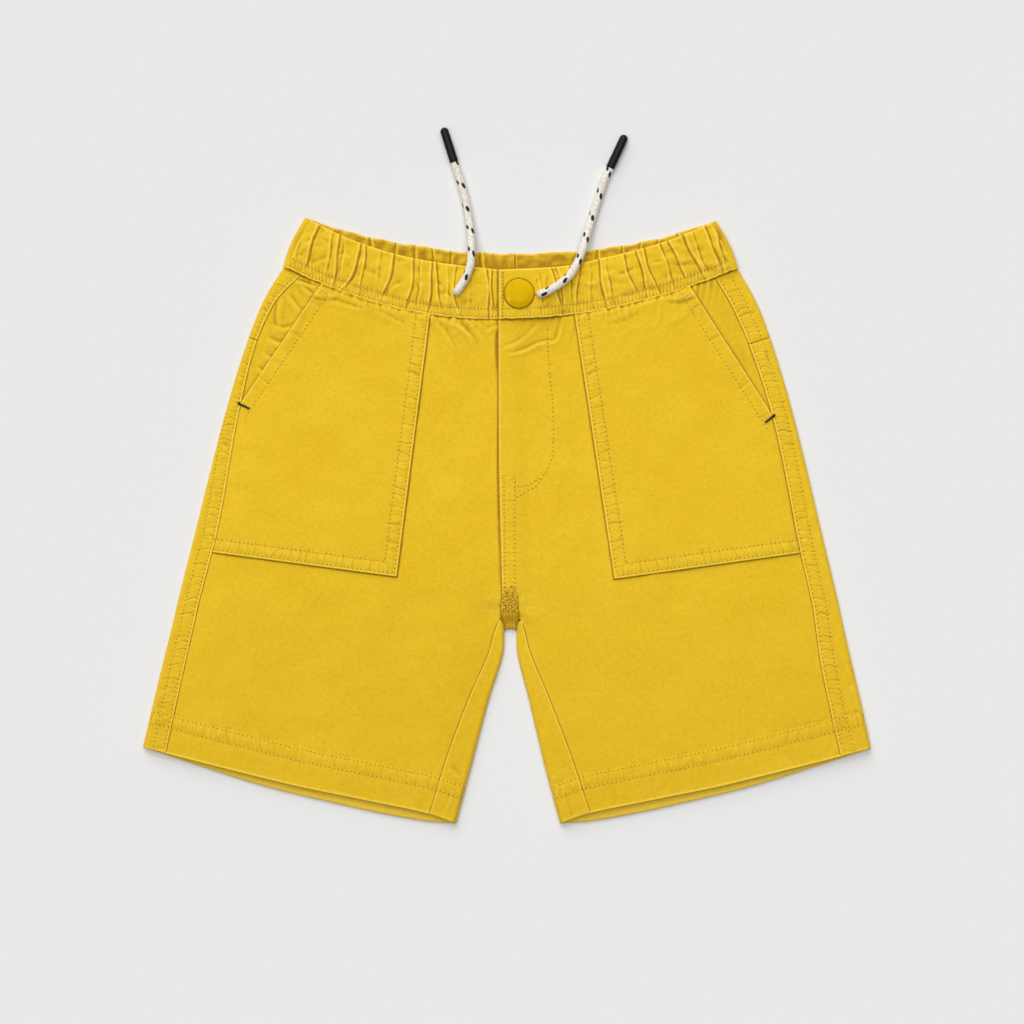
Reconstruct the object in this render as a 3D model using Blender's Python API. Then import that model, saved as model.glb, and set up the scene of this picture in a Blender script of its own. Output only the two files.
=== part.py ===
"""Child's pull-on shorts in cotton twill, laid flat with the front up.

The frame is in metres, +Z up, with the origin on the surface that the shorts lie on, under the middle of
their outline. +Y points to the waist and +X to the wearer's left. Tables and sizes are in millimetres.
"""

import math

import bmesh
import bpy
from mathutils import Vector

MM = 0.001

# Cloth and elastic
TWILL = 1.2  # one layer of twill
HEM_WALL = 2.0  # twill turned up twice and pressed
BAND_WALL = 2.6  # elastic between two layers of twill
SEAM_GAP = 0.3  # between two pieces that are sewn edge to edge
WAIST_GAP = 0.45  # from the waist seam's line up to the band
LAYER_GAP = 0.4  # between a panel and what lies on it

# Heights of the outer face above the surface
FOLD_RADIUS = 1.75  # the pressed edge of a leg
HEM_FOLD_RADIUS = 2.3
BAND_FOLD_RADIUS = 3.3
BODY_HEIGHT = 5.6
HEM_HEIGHT = 5.2
OUTER_RISE = 28.0  # how far in from the outer fold the front reaches its full height
INNER_RISE = 22.0
CROTCH_EASE = 30.0  # above the crotch, where the front starts to come down to it

# Lengths down the leg, along its outer fold
YOKE_DOWN = 48.0
MOUTH_DOWN = 92.0
FELL_END_DOWN = 219.0
CROTCH_DOWN = 226.0
HEM_EDGE_DOWN = 314.0
HEM_DEPTH = 27.0

# Centre front
FLY_LAP = 5.0  # how far the right front runs under the left one
LAP_MARGIN = 1.5  # from the edge of an under layer to where the upper one starts to come down
LAP_STEP = TWILL + SEAM_GAP
LAP_EASE = 14.0  # how far the left front takes to come down beside the lap

# Felled end of the seat seam, between the legs
FELL_FOLD_RADIUS = 1.55
FELL_TOP = -57.6
FELL_EDGE = -68.2
FELL_WIDE = -62.4  # from its fold to here, on the underside, it keeps its full width
FELL_POINT = -57.6
FELL_POINT_SHARE = 0.2
FELL_HOLLOW = 1.2
FELL_COLUMNS = 4

# Waistband
BAND_ROWS = 5
BAND_LAP = 24.0  # the right half runs this far under the left half, for the snap
BAND_LAP_EASE = 26.0
SIDE_BULGE = 1.7  # of the side folds, at the middle of the band's depth
BACK_WAVES = 13  # gathers on each half of the back
BACK_WAVE_HEIGHT = 0.7
BACK_SCALLOP = 0.8

# Patch pockets
POCKET_ROWS = 15
MOUTH_ROWS = 6  # of those, the rows that end at the slanted mouth
POCKET_COLUMNS = 14
POCKET_MARGIN = 4.0  # how far round a pocket the front's own folds are left out

# Snap cap
SNAP_CENTRE = (7.5, 140.2)
SNAP_RADIUS = 9.0
SNAP_HEIGHT = 2.3
SNAP_SIDES = 32

# Drawcord and its tips
CORD_DIAMETER = 5.0
TIP_DIAMETER = 5.4
TIP_LENGTH = 22.5
TIP_SIDES = 16
CORD_POINT_STEP = 2.4


class Table:
    """Rows of sizes under named columns, read between the rows on a smooth curve that doesn't overshoot."""

    def __init__(self, columns, rows):
        self.columns = columns.split()
        self.rows = rows

    def column(self, name):
        place = self.columns.index(name)
        return [row[place] for row in self.rows]

    def read(self, name, at):
        xs, ys = self.column(self.columns[0]), self.column(name)
        at = min(max(at, xs[0]), xs[-1])
        i = max(k for k in range(len(xs) - 1) if xs[k] <= at)
        steps = [xs[k + 1] - xs[k] for k in range(len(xs) - 1)]
        slopes = [(ys[k + 1] - ys[k]) / steps[k] for k in range(len(steps))]

        def tangent(k):
            if k in (0, len(steps)):
                return slopes[min(k, len(steps) - 1)]
            before, after = slopes[k - 1], slopes[k]
            if before * after <= 0:
                return 0.0
            return 2 * before * after / (before + after)

        t = (at - xs[i]) / steps[i]
        bulge = t * (1 - t) * steps[i]
        line = ys[i] + (ys[i + 1] - ys[i]) * t
        return line + bulge * ((tangent(i) - slopes[i]) * (1 - t) - (tangent(i + 1) - slopes[i]) * t)


SECTIONS = "down outer_x outer_y inner_x inner_y back_x back_y sag seam inseam"

# One row for each section across a leg, from its outer fold to the centre line or, below the crotch, to its
# inner fold. seam and inseam are how far the seams lie in from those folds, on the front.
RIGHT_LEG = Table(
    SECTIONS,
    [
        (0.0, -138.3, 157.2, -5.0, 124.2, 5.0, 133.6, 9.0, 10.6, 0.0),
        (23.6, -150.4, 136.9, -5.0, 103.0, 4.8, 110.0, 7.2, 6.2, 0.0),
        (YOKE_DOWN, -160.0, 113.2, -5.0, 80.0, 4.6, 86.0, 5.0, 5.2, 0.0),
        (MOUTH_DOWN, -173.0, 71.6, -4.8, 38.0, 4.2, 41.0, 3.0, 7.6, 0.0),
        (181.0, -195.0, -14.8, -2.9, -44.7, 2.9, -44.7, 1.0, 13.2, 0.0),
        (FELL_END_DOWN, -204.8, -54.0, -2.9, -55.5, 2.6, -55.5, 0.0, 13.2, 0.0),
        (CROTCH_DOWN, -206.5, -61.7, -1.8, -61.2, -1.8, -61.2, 0.0, 13.3, 2.8),
        (238.0, -209.3, -72.9, -1.8, -77.0, -1.8, -77.0, 0.0, 13.4, 7.8),
        (253.0, -213.0, -87.7, -11.5, -111.3, -11.5, -111.3, 0.0, 13.6, 11.8),
        (281.0, -219.5, -115.0, -22.9, -154.7, -22.9, -154.7, 0.0, 14.0, 15.7),
        (HEM_EDGE_DOWN, -225.4, -140.3, -31.6, -187.5, -31.6, -187.5, 0.0, 14.5, 16.7),
    ],
)
LEFT_LEG = Table(
    SECTIONS,
    [
        (0.0, 142.9, 155.9, -5.0, 124.2, 5.0, 133.6, 8.2, 14.0, 0.0),
        (23.6, 154.4, 135.4, -5.0, 103.0, 4.8, 110.0, 6.6, 14.2, 0.0),
        (YOKE_DOWN, 163.0, 113.2, -5.0, 80.0, 4.6, 86.0, 5.0, 13.4, 0.0),
        (MOUTH_DOWN, 176.3, 69.1, -4.8, 38.0, 4.2, 41.0, 3.0, 12.6, 0.0),
        (181.0, 196.9, -16.1, -2.9, -46.5, 2.9, -46.5, 0.0, 15.6, 0.0),
        (FELL_END_DOWN, 205.9, -54.0, -2.9, -55.5, 2.6, -55.5, 0.0, 16.4, 0.0),
        (CROTCH_DOWN, 207.5, -61.7, 6.2, -61.8, 6.2, -61.8, 0.0, 17.0, 2.6),
        (238.0, 210.0, -72.9, 5.9, -77.0, 5.9, -77.0, 0.0, 17.9, 6.8),
        (253.0, 213.4, -87.7, 13.7, -111.3, 13.7, -111.3, 0.0, 19.0, 12.0),
        (281.0, 219.8, -115.0, 24.0, -154.7, 24.0, -154.7, 0.0, 19.6, 17.3),
        (HEM_EDGE_DOWN, 225.4, -141.0, 32.9, -187.5, 32.9, -187.5, 0.0, 19.2, 19.0),
    ],
)

# How far the hem edges hang below the straight line between the two folds, by share of the width
HEM_DROP = Table(
    "share front back",
    [
        (0.0, 0.0, 0.0),
        (0.15, 0.6, 2.6),
        (0.45, 1.0, 6.0),
        (0.70, -0.6, 5.4),
        (0.90, -1.9, 3.2),
        (1.0, 0.0, 0.0),
    ],
)

# Top edges of the waistband by share of its half, from the side fold to the middle
RIGHT_BAND_TOP = Table(
    "share front_x front_y back_x back_y",
    [
        (0.0, -124.8, 187.5, -124.8, 187.5),
        (0.25, -94.5, 173.2, -92.0, 177.2),
        (0.5, -63.5, 163.6, -59.0, 170.6),
        (0.75, -34.0, 158.5, -27.0, 166.4),
        (1.0, -5.0, 155.3, 5.0, 165.0),
    ],
)
LEFT_BAND_TOP = Table(
    "share front_x front_y back_x back_y",
    [
        (0.0, 129.3, 185.4, 129.3, 185.4),
        (0.25, 97.0, 172.4, 97.5, 175.6),
        (0.5, 63.0, 163.3, 66.0, 169.4),
        (0.75, 28.0, 156.7, 36.0, 166.2),
        (1.0, -5.0, 155.1, 5.0, 165.0),
    ],
)

# Pleats of the gathered waistband: where each one's crest crosses the top edge, the middle and the seam, how
# high it stands, how far it reaches to each side, and the stretch of the band's depth where it shows.
PLEATS = "top middle low height reach first last"
RIGHT_PLEATS = Table(
    PLEATS,
    [
        (-116.5, -122.5, -126.5, 0.9, 2.4, 0.0, 1.0),
        (-104.2, -106.0, -108.5, 1.1, 2.4, 0.0, 1.0),
        (-91.3, -94.5, -103.4, 1.0, 2.2, 0.0, 1.0),
        (-86.0, -88.8, -92.8, 0.8, 2.0, 0.0, 0.9),
        (-70.5, -73.6, -80.4, 1.0, 2.4, 0.0, 1.0),
        (-58.6, -59.6, -64.0, 1.1, 2.4, 0.0, 1.0),
        (-47.2, -47.6, -50.2, 1.2, 2.0, 0.0, 1.0),
        (-41.6, -42.4, -39.8, 0.9, 1.8, 0.0, 1.0),
        (-30.0, -33.6, -28.4, 0.7, 2.2, 0.2, 1.0),
        (-13.6, -12.2, -12.6, 1.0, 2.2, 0.0, 1.0),
    ],
)
LEFT_PLEATS = Table(
    PLEATS,
    [
        (20.0, 27.0, 31.0, 0.6, 2.4, 0.0, 0.7),
        (29.6, 35.0, 37.2, 0.9, 2.4, 0.0, 1.0),
        (44.6, 43.0, 42.2, 0.8, 2.2, 0.1, 1.0),
        (57.8, 59.6, 63.0, 1.1, 2.4, 0.0, 1.0),
        (71.0, 75.4, 82.4, 0.8, 2.4, 0.2, 1.0),
        (80.4, 84.6, 87.9, 1.0, 2.0, 0.0, 1.0),
        (85.6, 90.6, 95.4, 0.9, 1.8, 0.0, 1.0),
        (93.2, 98.6, 103.2, 0.8, 2.2, 0.0, 0.9),
        (100.2, 107.2, 114.6, 1.0, 2.2, 0.0, 1.0),
        (109.8, 116.4, 124.2, 1.2, 2.6, 0.0, 1.0),
        (121.0, 127.4, 132.4, 0.9, 2.4, 0.0, 1.0),
    ],
)

# Folds of the body: from one end to the other, how high each stands and how wide it is to each side
FOLDS = "from_x from_y to_x to_y height reach"
RIGHT_FOLDS = Table(
    FOLDS,
    [
        (-122.0, 140.0, -146.0, 104.0, 0.8, 5.0),
        (-43.0, 122.0, -14.0, 98.0, 0.7, 5.0),
        (-24.0, 124.0, -16.0, 96.0, 0.6, 4.5),
        (-16.0, -42.0, -52.0, 8.0, 0.5, 9.0),
        (-20.0, -66.0, -70.0, -118.0, 0.5, 11.0),
    ],
)
LEFT_FOLDS = Table(
    FOLDS,
    [
        (125.0, 140.0, 152.0, 98.0, 0.6, 5.0),
        (10.0, 104.0, 26.0, 112.0, 0.7, 4.5),
        (34.0, 122.0, 31.0, 92.0, 0.7, 4.0),
        (24.0, 96.0, 24.0, 40.0, 0.4, 5.0),
        (16.0, -46.0, 52.0, 2.0, 0.5, 9.0),
        (24.0, -66.0, 74.0, -120.0, 0.5, 11.0),
    ],
)

# Where each patch pocket's inner edge and mouth meet the waist seam, its lower inner corner, and where its mouth
# and its lower edge meet the side seam
RIGHT_POCKET = {
    "top_inner_share": 0.68,
    "top_outer_share": 0.176,
    "low_inner": (-68.3, -34.6),
    "low_outer_down": 183.5,
    "mouth_end_down": 89.0,
}
LEFT_POCKET = {
    "top_inner_share": 0.683,
    "top_outer_share": 0.200,
    "low_inner": (66.5, -36.0),
    "low_outer_down": 182.5,
    "mouth_end_down": 93.0,
}

# Free ends of the drawcord, from the eyelet to the tip: the middle of the cord
CORD = "x y z"
RIGHT_CORD = Table(
    CORD,
    [
        (-30.6, 141.8, 9.3),
        (-28.6, 144.6, 9.9),
        (-25.4, 150.0, 10.0),
        (-22.6, 157.6, 10.0),
        (-22.0, 165.6, 9.0),
        (-22.2, 174.8, 6.2),
        (-23.4, 185.0, 3.6),
        (-25.8, 198.5, 2.6),
        (-28.9, 210.2, 2.6),
        (-32.6, 221.8, 2.6),
    ],
)
LEFT_CORD = Table(
    CORD,
    [
        (21.2, 139.9, 11.8),
        (25.2, 141.5, 12.5),
        (32.4, 145.8, 12.2),
        (38.7, 151.2, 11.4),
        (43.2, 158.6, 10.5),
        (46.2, 165.8, 9.0),
        (48.8, 174.9, 6.1),
        (51.9, 185.0, 3.6),
        (56.0, 197.6, 2.6),
        (60.2, 210.4, 2.6),
        (63.8, 218.2, 2.6),
    ],
)
TIP_HEIGHT = 2.8


def smooth(t):
    t = min(max(t, 0.0), 1.0)
    return t * t * (3 - 2 * t)


def between(a, b, share):
    return a + (b - a) * share


def hem_share(down):
    """0 on a single layer of twill and 1 on the turned hem."""
    return smooth((down - (HEM_EDGE_DOWN - HEM_DEPTH - 1.5)) / 3.0)


def cloth_wall(down):
    return between(TWILL, HEM_WALL, hem_share(down))


def fold_radius(down):
    return between(FOLD_RADIUS, HEM_FOLD_RADIUS, smooth((down - 230.0) / 70.0))


class Leg:
    """One half of the body: places on it by how far down the leg and how far in from its outer fold."""

    def __init__(self, table, folds):
        self.table = table
        self.folds = folds

    def ends(self, down, layer):
        read = self.table.read
        outer = Vector((read("outer_x", down), read("outer_y", down)))
        name = "inner" if layer == "front" else "back"
        return outer, Vector((read(name + "_x", down), read(name + "_y", down)))

    def width(self, down, layer="front"):
        outer, inner = self.ends(down, layer)
        return (inner - outer).length

    def place(self, down, inwards, layer):
        """The (x, y) place that lies inwards millimetres in from the outer fold."""
        outer, inner = self.ends(down, layer)
        share = inwards / (inner - outer).length
        at = outer.lerp(inner, share)
        inside = min(max(share, 0.0), 1.0)
        at.y -= self.table.read("sag", down) * 4 * inside * (1 - inside)
        at.y -= HEM_DROP.read(layer, inside) * smooth((down - 200.0) / 100.0)
        return at

    def height(self, down, inwards):
        """Height of the front's outer face, without its folds."""
        edge = 2 * fold_radius(down)
        full = between(BODY_HEIGHT, HEM_HEIGHT, smooth(down / HEM_EDGE_DOWN)) - edge
        outer_share = smooth((inwards - fold_radius(down)) / OUTER_RISE)
        inner_share = smooth((self.width(down) - inwards - fold_radius(down)) / INNER_RISE)
        below_crotch = smooth((down - CROTCH_DOWN + CROTCH_EASE) / CROTCH_EASE)
        return edge + full * outer_share * between(1.0, inner_share, below_crotch)

    def relief(self, at):
        """How far the soft folds lift the outer face at an (x, y) place."""
        total = 0.0
        for from_x, from_y, to_x, to_y, height, reach in self.folds.rows:
            start, along = Vector((from_x, from_y)), Vector((to_x - from_x, to_y - from_y))
            share = (at - start).dot(along) / along.length_squared
            off = (at - start - along * min(max(share, 0.0), 1.0)).length
            total += height * math.exp(-((off / reach) ** 2)) * smooth(1.25 - abs(share - 0.5) * 1.5)
        return total


RIGHT = Leg(RIGHT_LEG, RIGHT_FOLDS)
LEFT = Leg(LEFT_LEG, LEFT_FOLDS)


def material(name, colour, roughness, metallic=0.0):
    made = bpy.data.materials.new(name)
    made.use_nodes = True
    shader = made.node_tree.nodes["Principled BSDF"]
    shader.inputs["Base Color"].default_value = (*colour, 1.0)
    shader.inputs["Roughness"].default_value = roughness
    shader.inputs["Metallic"].default_value = metallic
    return made


def new_object(name, bm, finish):
    bmesh.ops.recalc_face_normals(bm, faces=bm.faces)
    mesh = bpy.data.meshes.new(name)
    bm.to_mesh(mesh)
    bm.free()
    mesh.materials.append(finish)
    mesh.shade_smooth()
    obj = bpy.data.objects.new(name, mesh)
    bpy.context.collection.objects.link(obj)
    return obj


def wall(name, rows, finish, missing=lambda row, column: False):
    """A closed wall through rows of (outer point, inner point) pairs, without the cells that are missing."""
    bm = bmesh.new()
    made = {}

    def corner(row, column, side):
        key = (row, column, side)
        if key not in made:
            made[key] = bm.verts.new(Vector(rows[row][column][side]) * MM)
        return made[key]

    edges = {}
    for row in range(len(rows) - 1):
        for column in range(len(rows[0]) - 1):
            if missing(row, column):
                continue
            ring = [(row, column), (row, column + 1), (row + 1, column + 1), (row + 1, column)]
            bm.faces.new([corner(*place, 0) for place in ring])
            bm.faces.new([corner(*place, 1) for place in reversed(ring)])
            for a, b in zip(ring, ring[1:] + ring[:1]):
                edges.setdefault(frozenset((a, b)), []).append((a, b))
    for found in edges.values():
        if len(found) == 1:
            a, b = found[0]
            bm.faces.new([corner(*b, 0), corner(*a, 0), corner(*a, 1), corner(*b, 1)])
    return new_object(name, bm, finish)


def fold_ring(radius, thickness, quarter_turns):
    """(outer in, outer up, inner in, inner up) round a fold, at the given quarter turns from its top."""
    found = []
    for turn in quarter_turns:
        angle = math.pi / 2 * (1 + turn)
        across, up = math.cos(angle), math.sin(angle)
        inner = radius - thickness
        found.append((radius + radius * across, radius + radius * up, radius + inner * across, radius + inner * up))
    return found


TURNS = (0.0, 0.5, 1.0, 1.5, 2.0)


def back_row(leg, down, floor_columns, to_centre, lift):
    """The back panel across one section: from the front seam, round the outer fold, over the surface and, below
    the crotch, round the inner fold to the inseam."""
    radius, thickness = fold_radius(down), cloth_wall(down)
    front_width, floor_width = leg.width(down), leg.width(down, "back")
    row = []

    def pair(layer, outer_in, outer_up, inner_in, inner_up):
        outer, inner = leg.place(down, outer_in, layer), leg.place(down, inner_in, layer)
        row.append(((*outer, outer_up), (*inner, inner_up)))

    def on_front(inwards):
        up = leg.height(down, inwards) + lift
        pair("front", inwards, up, inwards, up - thickness)

    seam = leg.table.read("seam", down) - SEAM_GAP / 2
    for share in (1.0, 0.5):
        on_front(between(radius, seam, share))
    for ring in fold_ring(radius, thickness, TURNS):
        pair("back", *ring)
    centre_gap = SEAM_GAP / 2 if to_centre else radius
    for k in range(1, floor_columns + 1):
        inwards = between(radius, floor_width - centre_gap, k / floor_columns)
        pair("back", inwards, 0.0, inwards, thickness)
    for outer_in, outer_up, inner_in, inner_up in reversed(fold_ring(radius, thickness, TURNS[:-1])):
        pair("back", floor_width - outer_in, outer_up, floor_width - inner_in, inner_up)
    inseam = leg.table.read("inseam", down) - SEAM_GAP / 2
    for share in (0.5, 1.0):
        on_front(front_width - between(radius, inseam, share))
    return row


FLOOR_COLUMNS = 9
LAST_FLOOR_COLUMN = 1 + len(TURNS) + FLOOR_COLUMNS
SEAM_LIFT = 0.35  # the felled side seams stand this much over the front


def back_panel(name, leg, downs, finish):
    rows = [back_row(leg, down, FLOOR_COLUMNS, down < CROTCH_DOWN, SEAM_LIFT) for down in downs]

    def above_crotch(row, column):
        return column >= LAST_FLOOR_COLUMN and downs[row] < CROTCH_DOWN

    return wall(name, rows, finish, above_crotch)


YOKE_DOWNS = (SEAM_GAP / 2, 10.0, 22.0, 34.0, YOKE_DOWN - SEAM_GAP / 2)
BACK_DOWNS = (
    YOKE_DOWN + SEAM_GAP / 2, 62.0, 76.0, MOUTH_DOWN, 110.0, 132.0, 156.0, 181.0, 202.0, FELL_END_DOWN,
    CROTCH_DOWN, 231.0, 238.0, 245.0, 253.0, 266.0, 277.0,
    HEM_EDGE_DOWN - HEM_DEPTH - 1.5, HEM_EDGE_DOWN - HEM_DEPTH + 1.5, 302.0, HEM_EDGE_DOWN,
)
FRONT_DOWNS = (
    SEAM_GAP / 2, 6.0, 12.0, 20.0, 30.0, YOKE_DOWN, 64.0, 78.0, MOUTH_DOWN, 110.0, 132.0, 156.0, 181.0, 202.0,
    FELL_END_DOWN, CROTCH_DOWN, 231.0, 238.0, 245.0, 253.0, 266.0, 277.0,
    HEM_EDGE_DOWN - HEM_DEPTH - 1.5, HEM_EDGE_DOWN - HEM_DEPTH + 1.5, 302.0, HEM_EDGE_DOWN,
)
FRONT_COLUMNS = 18


def lap_lift(leg, down, inwards):
    """How far the left front is lifted beside the centre, where it lies over the right one."""
    beside = leg.width(down) - inwards - FLY_LAP - LAP_MARGIN
    return LAP_STEP * (1 - smooth(beside / LAP_EASE)) * (1 - smooth((down - FELL_END_DOWN) / 14.0))


def pocket_top(leg, share):
    return leg.place(SEAM_GAP / 2, leg.width(0.0) * share, "front")


def under_pocket(leg, pocket, at):
    """True where a patch pocket lies over the front, so that the folds there are the pocket's own."""
    top, low = pocket_top(leg, pocket["top_inner_share"]), Vector(pocket["low_inner"])
    edge = low.lerp(top, (at.y - low.y) / (top.y - low.y))
    return at.y > low.y - POCKET_MARGIN and abs(at.x) > abs(edge.x) - POCKET_MARGIN


def front_panel(name, leg, pocket, laps_over, finish):
    hem_wall_extra = HEM_WALL - TWILL
    rows = []
    for down in FRONT_DOWNS:
        read = leg.table.read
        start = read("seam", down) + SEAM_GAP / 2
        end = leg.width(down) - read("inseam", down)
        if down >= CROTCH_DOWN:
            end -= SEAM_GAP / 2
        if not laps_over:
            end += FLY_LAP * (1 - smooth((down - 190.0) / 20.0))
        row = []
        for k in range(FRONT_COLUMNS + 1):
            inwards = between(start, end, k / FRONT_COLUMNS)
            at = leg.place(down, inwards, "front")
            base = leg.height(down, inwards)
            if laps_over:
                base += lap_lift(leg, down, inwards)
            covered = under_pocket(leg, pocket, at) or inwards > leg.width(down) - 1.0
            up = base + (0.0 if covered else leg.relief(at))
            inner_up = base - TWILL - hem_wall_extra * hem_share(down)
            row.append(((*at, up), (*at, inner_up)))
        rows.append(row)
    return wall(name, rows, finish)


def pocket_patch(name, leg, pocket, laps_over, finish):
    """A patch pocket on the front: its rows run from the inner edge to the mouth or to the side seam."""

    def seam(down):
        return leg.place(down, leg.table.read("seam", down) + SEAM_GAP / 2, "front")

    def height_at(at):
        down, inwards = find_place(leg, at)
        base = leg.height(down, inwards)
        if laps_over:
            base += lap_lift(leg, down, inwards)
        return base

    top_inner = pocket_top(leg, pocket["top_inner_share"])
    mouth_top = pocket_top(leg, pocket["top_outer_share"])
    low_inner = Vector(pocket["low_inner"])
    mouth_end, last = pocket["mouth_end_down"], pocket["low_outer_down"]
    rows = []
    for i in range(POCKET_ROWS + 1):
        if i <= MOUTH_ROWS:
            share = i / MOUTH_ROWS
            outer = mouth_top.lerp(seam(mouth_end), share)
            down_share = share * (mouth_end / last)
        else:
            share = (i - MOUTH_ROWS) / (POCKET_ROWS - MOUTH_ROWS)
            down = between(mouth_end, last, share)
            outer, down_share = seam(down), down / last
        inner = top_inner.lerp(low_inner, down_share)
        row = []
        for k in range(POCKET_COLUMNS + 1):
            share = k / POCKET_COLUMNS
            at = inner.lerp(outer, share)
            at.y -= leg.table.read("sag", 0.0) * share * (1 - share) * (1 - down_share)
            low = height_at(at) + LAYER_GAP
            row.append(((*at, low + TWILL + leg.relief(at)), (*at, low)))
        rows.append(row)
    return wall(name, rows, finish)


def find_place(leg, at):
    """The (down, inwards) of an (x, y) place on the front, found by halving the range of down."""
    low, high = 0.0, HEM_EDGE_DOWN
    for _ in range(22):
        down = (low + high) / 2
        outer, inner = leg.ends(down, "front")
        along = (inner - outer).normalized()
        inwards = (at - outer).dot(along)
        if leg.place(down, inwards, "front").y > at.y:
            low = down
        else:
            high = down
    return down, inwards


class Band:
    """One half of the waistband, from its side fold to the middle."""

    def __init__(self, leg, top, pleats, is_left):
        self.leg, self.top, self.pleats, self.is_left = leg, top, pleats, is_left

    def place(self, depth, share, layer):
        """depth is 0 on the top edge and 1 on the waist seam; the share runs from the fold to the middle."""
        share = min(max(share, 0.0), 1.0)
        top = Vector((self.top.read(layer + "_x", share), self.top.read(layer + "_y", share)))
        low = self.leg.place(0.0, self.leg.width(0.0, layer) * share, layer)
        low.y += WAIST_GAP
        at = top.lerp(low, depth)
        at.x += math.copysign(SIDE_BULGE, low.x) * 4 * depth * (1 - depth) * smooth(1 - share * 4)
        return at

    def width(self, depth, layer="front"):
        return (self.place(depth, 1.0, layer) - self.place(depth, 0.0, layer)).length

    def share_at(self, depth, x):
        """The share of the front at which the band has this x."""
        low, high = 0.0, 1.0
        for _ in range(24):
            middle = (low + high) / 2
            if abs(self.place(depth, middle, "front").x) > abs(x) and self.place(depth, middle, "front").x * x > 0:
                low = middle
            else:
                high = middle
        return low

    def pleat_x(self, row, depth):
        top, middle, low = row[0], row[1], row[2]
        return between(top, middle, depth * 2) if depth < 0.5 else between(middle, low, depth * 2 - 1)


RIGHT_BAND = Band(RIGHT, RIGHT_BAND_TOP, RIGHT_PLEATS, False)
LEFT_BAND = Band(LEFT, LEFT_BAND_TOP, LEFT_PLEATS, True)


def band_relief(band, depth, at_x):
    total = 0.0
    for row in band.pleats.rows:
        height, reach, first, last = row[3:7]
        shown = smooth((depth - first) / 0.15 + 0.6) * smooth((last - depth) / 0.15 + 0.6)
        off = abs(at_x - band.pleat_x(row, depth))
        total = max(total, height * shown * (1 - off / reach))
    return total


def band_lift(band, share, depth):
    """How far the left half is lifted where it lies over the right half's end."""
    if not band.is_left:
        return 0.0
    from_middle = (1 - share) * band.width(depth)
    return (BAND_WALL + SEAM_GAP) * (1 - smooth((from_middle - BAND_LAP - LAP_MARGIN) / BAND_LAP_EASE))


def front_band_shares(band, depth):
    """Where the columns of the front lie: on each pleat's crest and feet, and beside the other half's end."""
    places = []
    for row in band.pleats.rows:
        crest, reach = band.pleat_x(row, depth), row[4]
        places += [crest - reach, crest, crest + reach]
    shares = [band.share_at(depth, x) for x in places]
    if band.is_left:
        width = band.width(depth)
        shares += [1.0 - (BAND_LAP + LAP_MARGIN) / width, 1.0 - (BAND_LAP + BAND_LAP_EASE / 2) / width]
    shares.sort()
    end = 1.0
    tidy = [0.045]
    for share in shares:
        tidy.append(min(max(share, tidy[-1] + 0.004), end - 0.004 * (len(shares) - len(tidy) + 2)))
    tidy.append(end)
    return tidy


def waistband(name, band, finish):
    rows = []
    radius = BAND_FOLD_RADIUS
    for i in range(BAND_ROWS + 1):
        depth = i / BAND_ROWS
        front_width, back_width = band.width(depth), band.width(depth, "back")
        row = []
        if not band.is_left:
            for under in (BAND_LAP, BAND_LAP / 2):
                at = LEFT_BAND.place(depth, 1.0 - under / LEFT_BAND.width(depth), "front")
                row.append(((*at, 2 * radius), (*at, 2 * radius - BAND_WALL)))
        for share in reversed(front_band_shares(band, depth)):
            at = band.place(depth, share, "front")
            base = 2 * radius + band_lift(band, share, depth)
            covered = not band.is_left and share > 0.999
            relief = 0.0 if covered else band_relief(band, depth, at.x)
            row.append(((*at, base + relief), (*at, base - BAND_WALL)))
        for outer_in, outer_up, inner_in, inner_up in fold_ring(radius, BAND_WALL, TURNS):
            outer = band.place(depth, outer_in / front_width, "front")
            inner = band.place(depth, inner_in / front_width, "front")
            row.append(((*outer, outer_up), (*inner, inner_up)))
        start = radius / back_width + 0.01
        end = 1.0 - SEAM_GAP / 2 / back_width
        for k in range(4 * BACK_WAVES // 2 + 1):
            share = between(start, end, k / (4 * BACK_WAVES // 2))
            at = band.place(depth, share, "back")
            wave = 0.5 - 0.5 * math.cos(math.pi * k)
            shown = smooth(k / 3.0)
            at.y += BACK_SCALLOP * wave * shown * (1 - depth)
            row.append(((*at, 0.0), (*at, BAND_WALL + BACK_WAVE_HEIGHT * wave * shown)))
        rows.append(row)
    return wall(name, rows, finish)


def crotch_fell(name, finish):
    """The felled end of the seat seam, which comes up between the legs to the front's crotch point."""
    left, right = RIGHT_LEG.read("inner_x", CROTCH_DOWN) + SEAM_GAP, LEFT_LEG.read("inner_x", CROTCH_DOWN) - SEAM_GAP
    seat_x = RIGHT_LEG.read("back_x", FELL_END_DOWN)
    radius = FELL_FOLD_RADIUS
    profile = [(FELL_TOP, 2 * radius, FELL_TOP, 2 * radius - TWILL, 1.0, 0.0)]
    for outer_in, outer_up, inner_in, inner_up in fold_ring(radius, TWILL, TURNS):
        profile.append((FELL_EDGE + outer_in, outer_up, FELL_EDGE + inner_in, inner_up, 1.0, 1.0))
    profile.append((FELL_WIDE, 0.0, FELL_WIDE, TWILL, 1.0, 0.0))
    profile.append((FELL_POINT, 0.0, FELL_POINT, TWILL, FELL_POINT_SHARE, 0.0))
    rows = []
    for k in range(FELL_COLUMNS + 1):
        x = between(left, right, k / FELL_COLUMNS)
        hollow = FELL_HOLLOW * (1 - (2 * k / FELL_COLUMNS - 1) ** 2)
        row = []
        for outer_y, outer_up, inner_y, inner_up, width, bowed in profile:
            at_x = between(seat_x, x, width)
            row.append(((at_x, outer_y + hollow * bowed, outer_up), (at_x, inner_y + hollow * bowed, inner_up)))
        rows.append(row)
    return wall(name, rows, finish)


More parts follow.
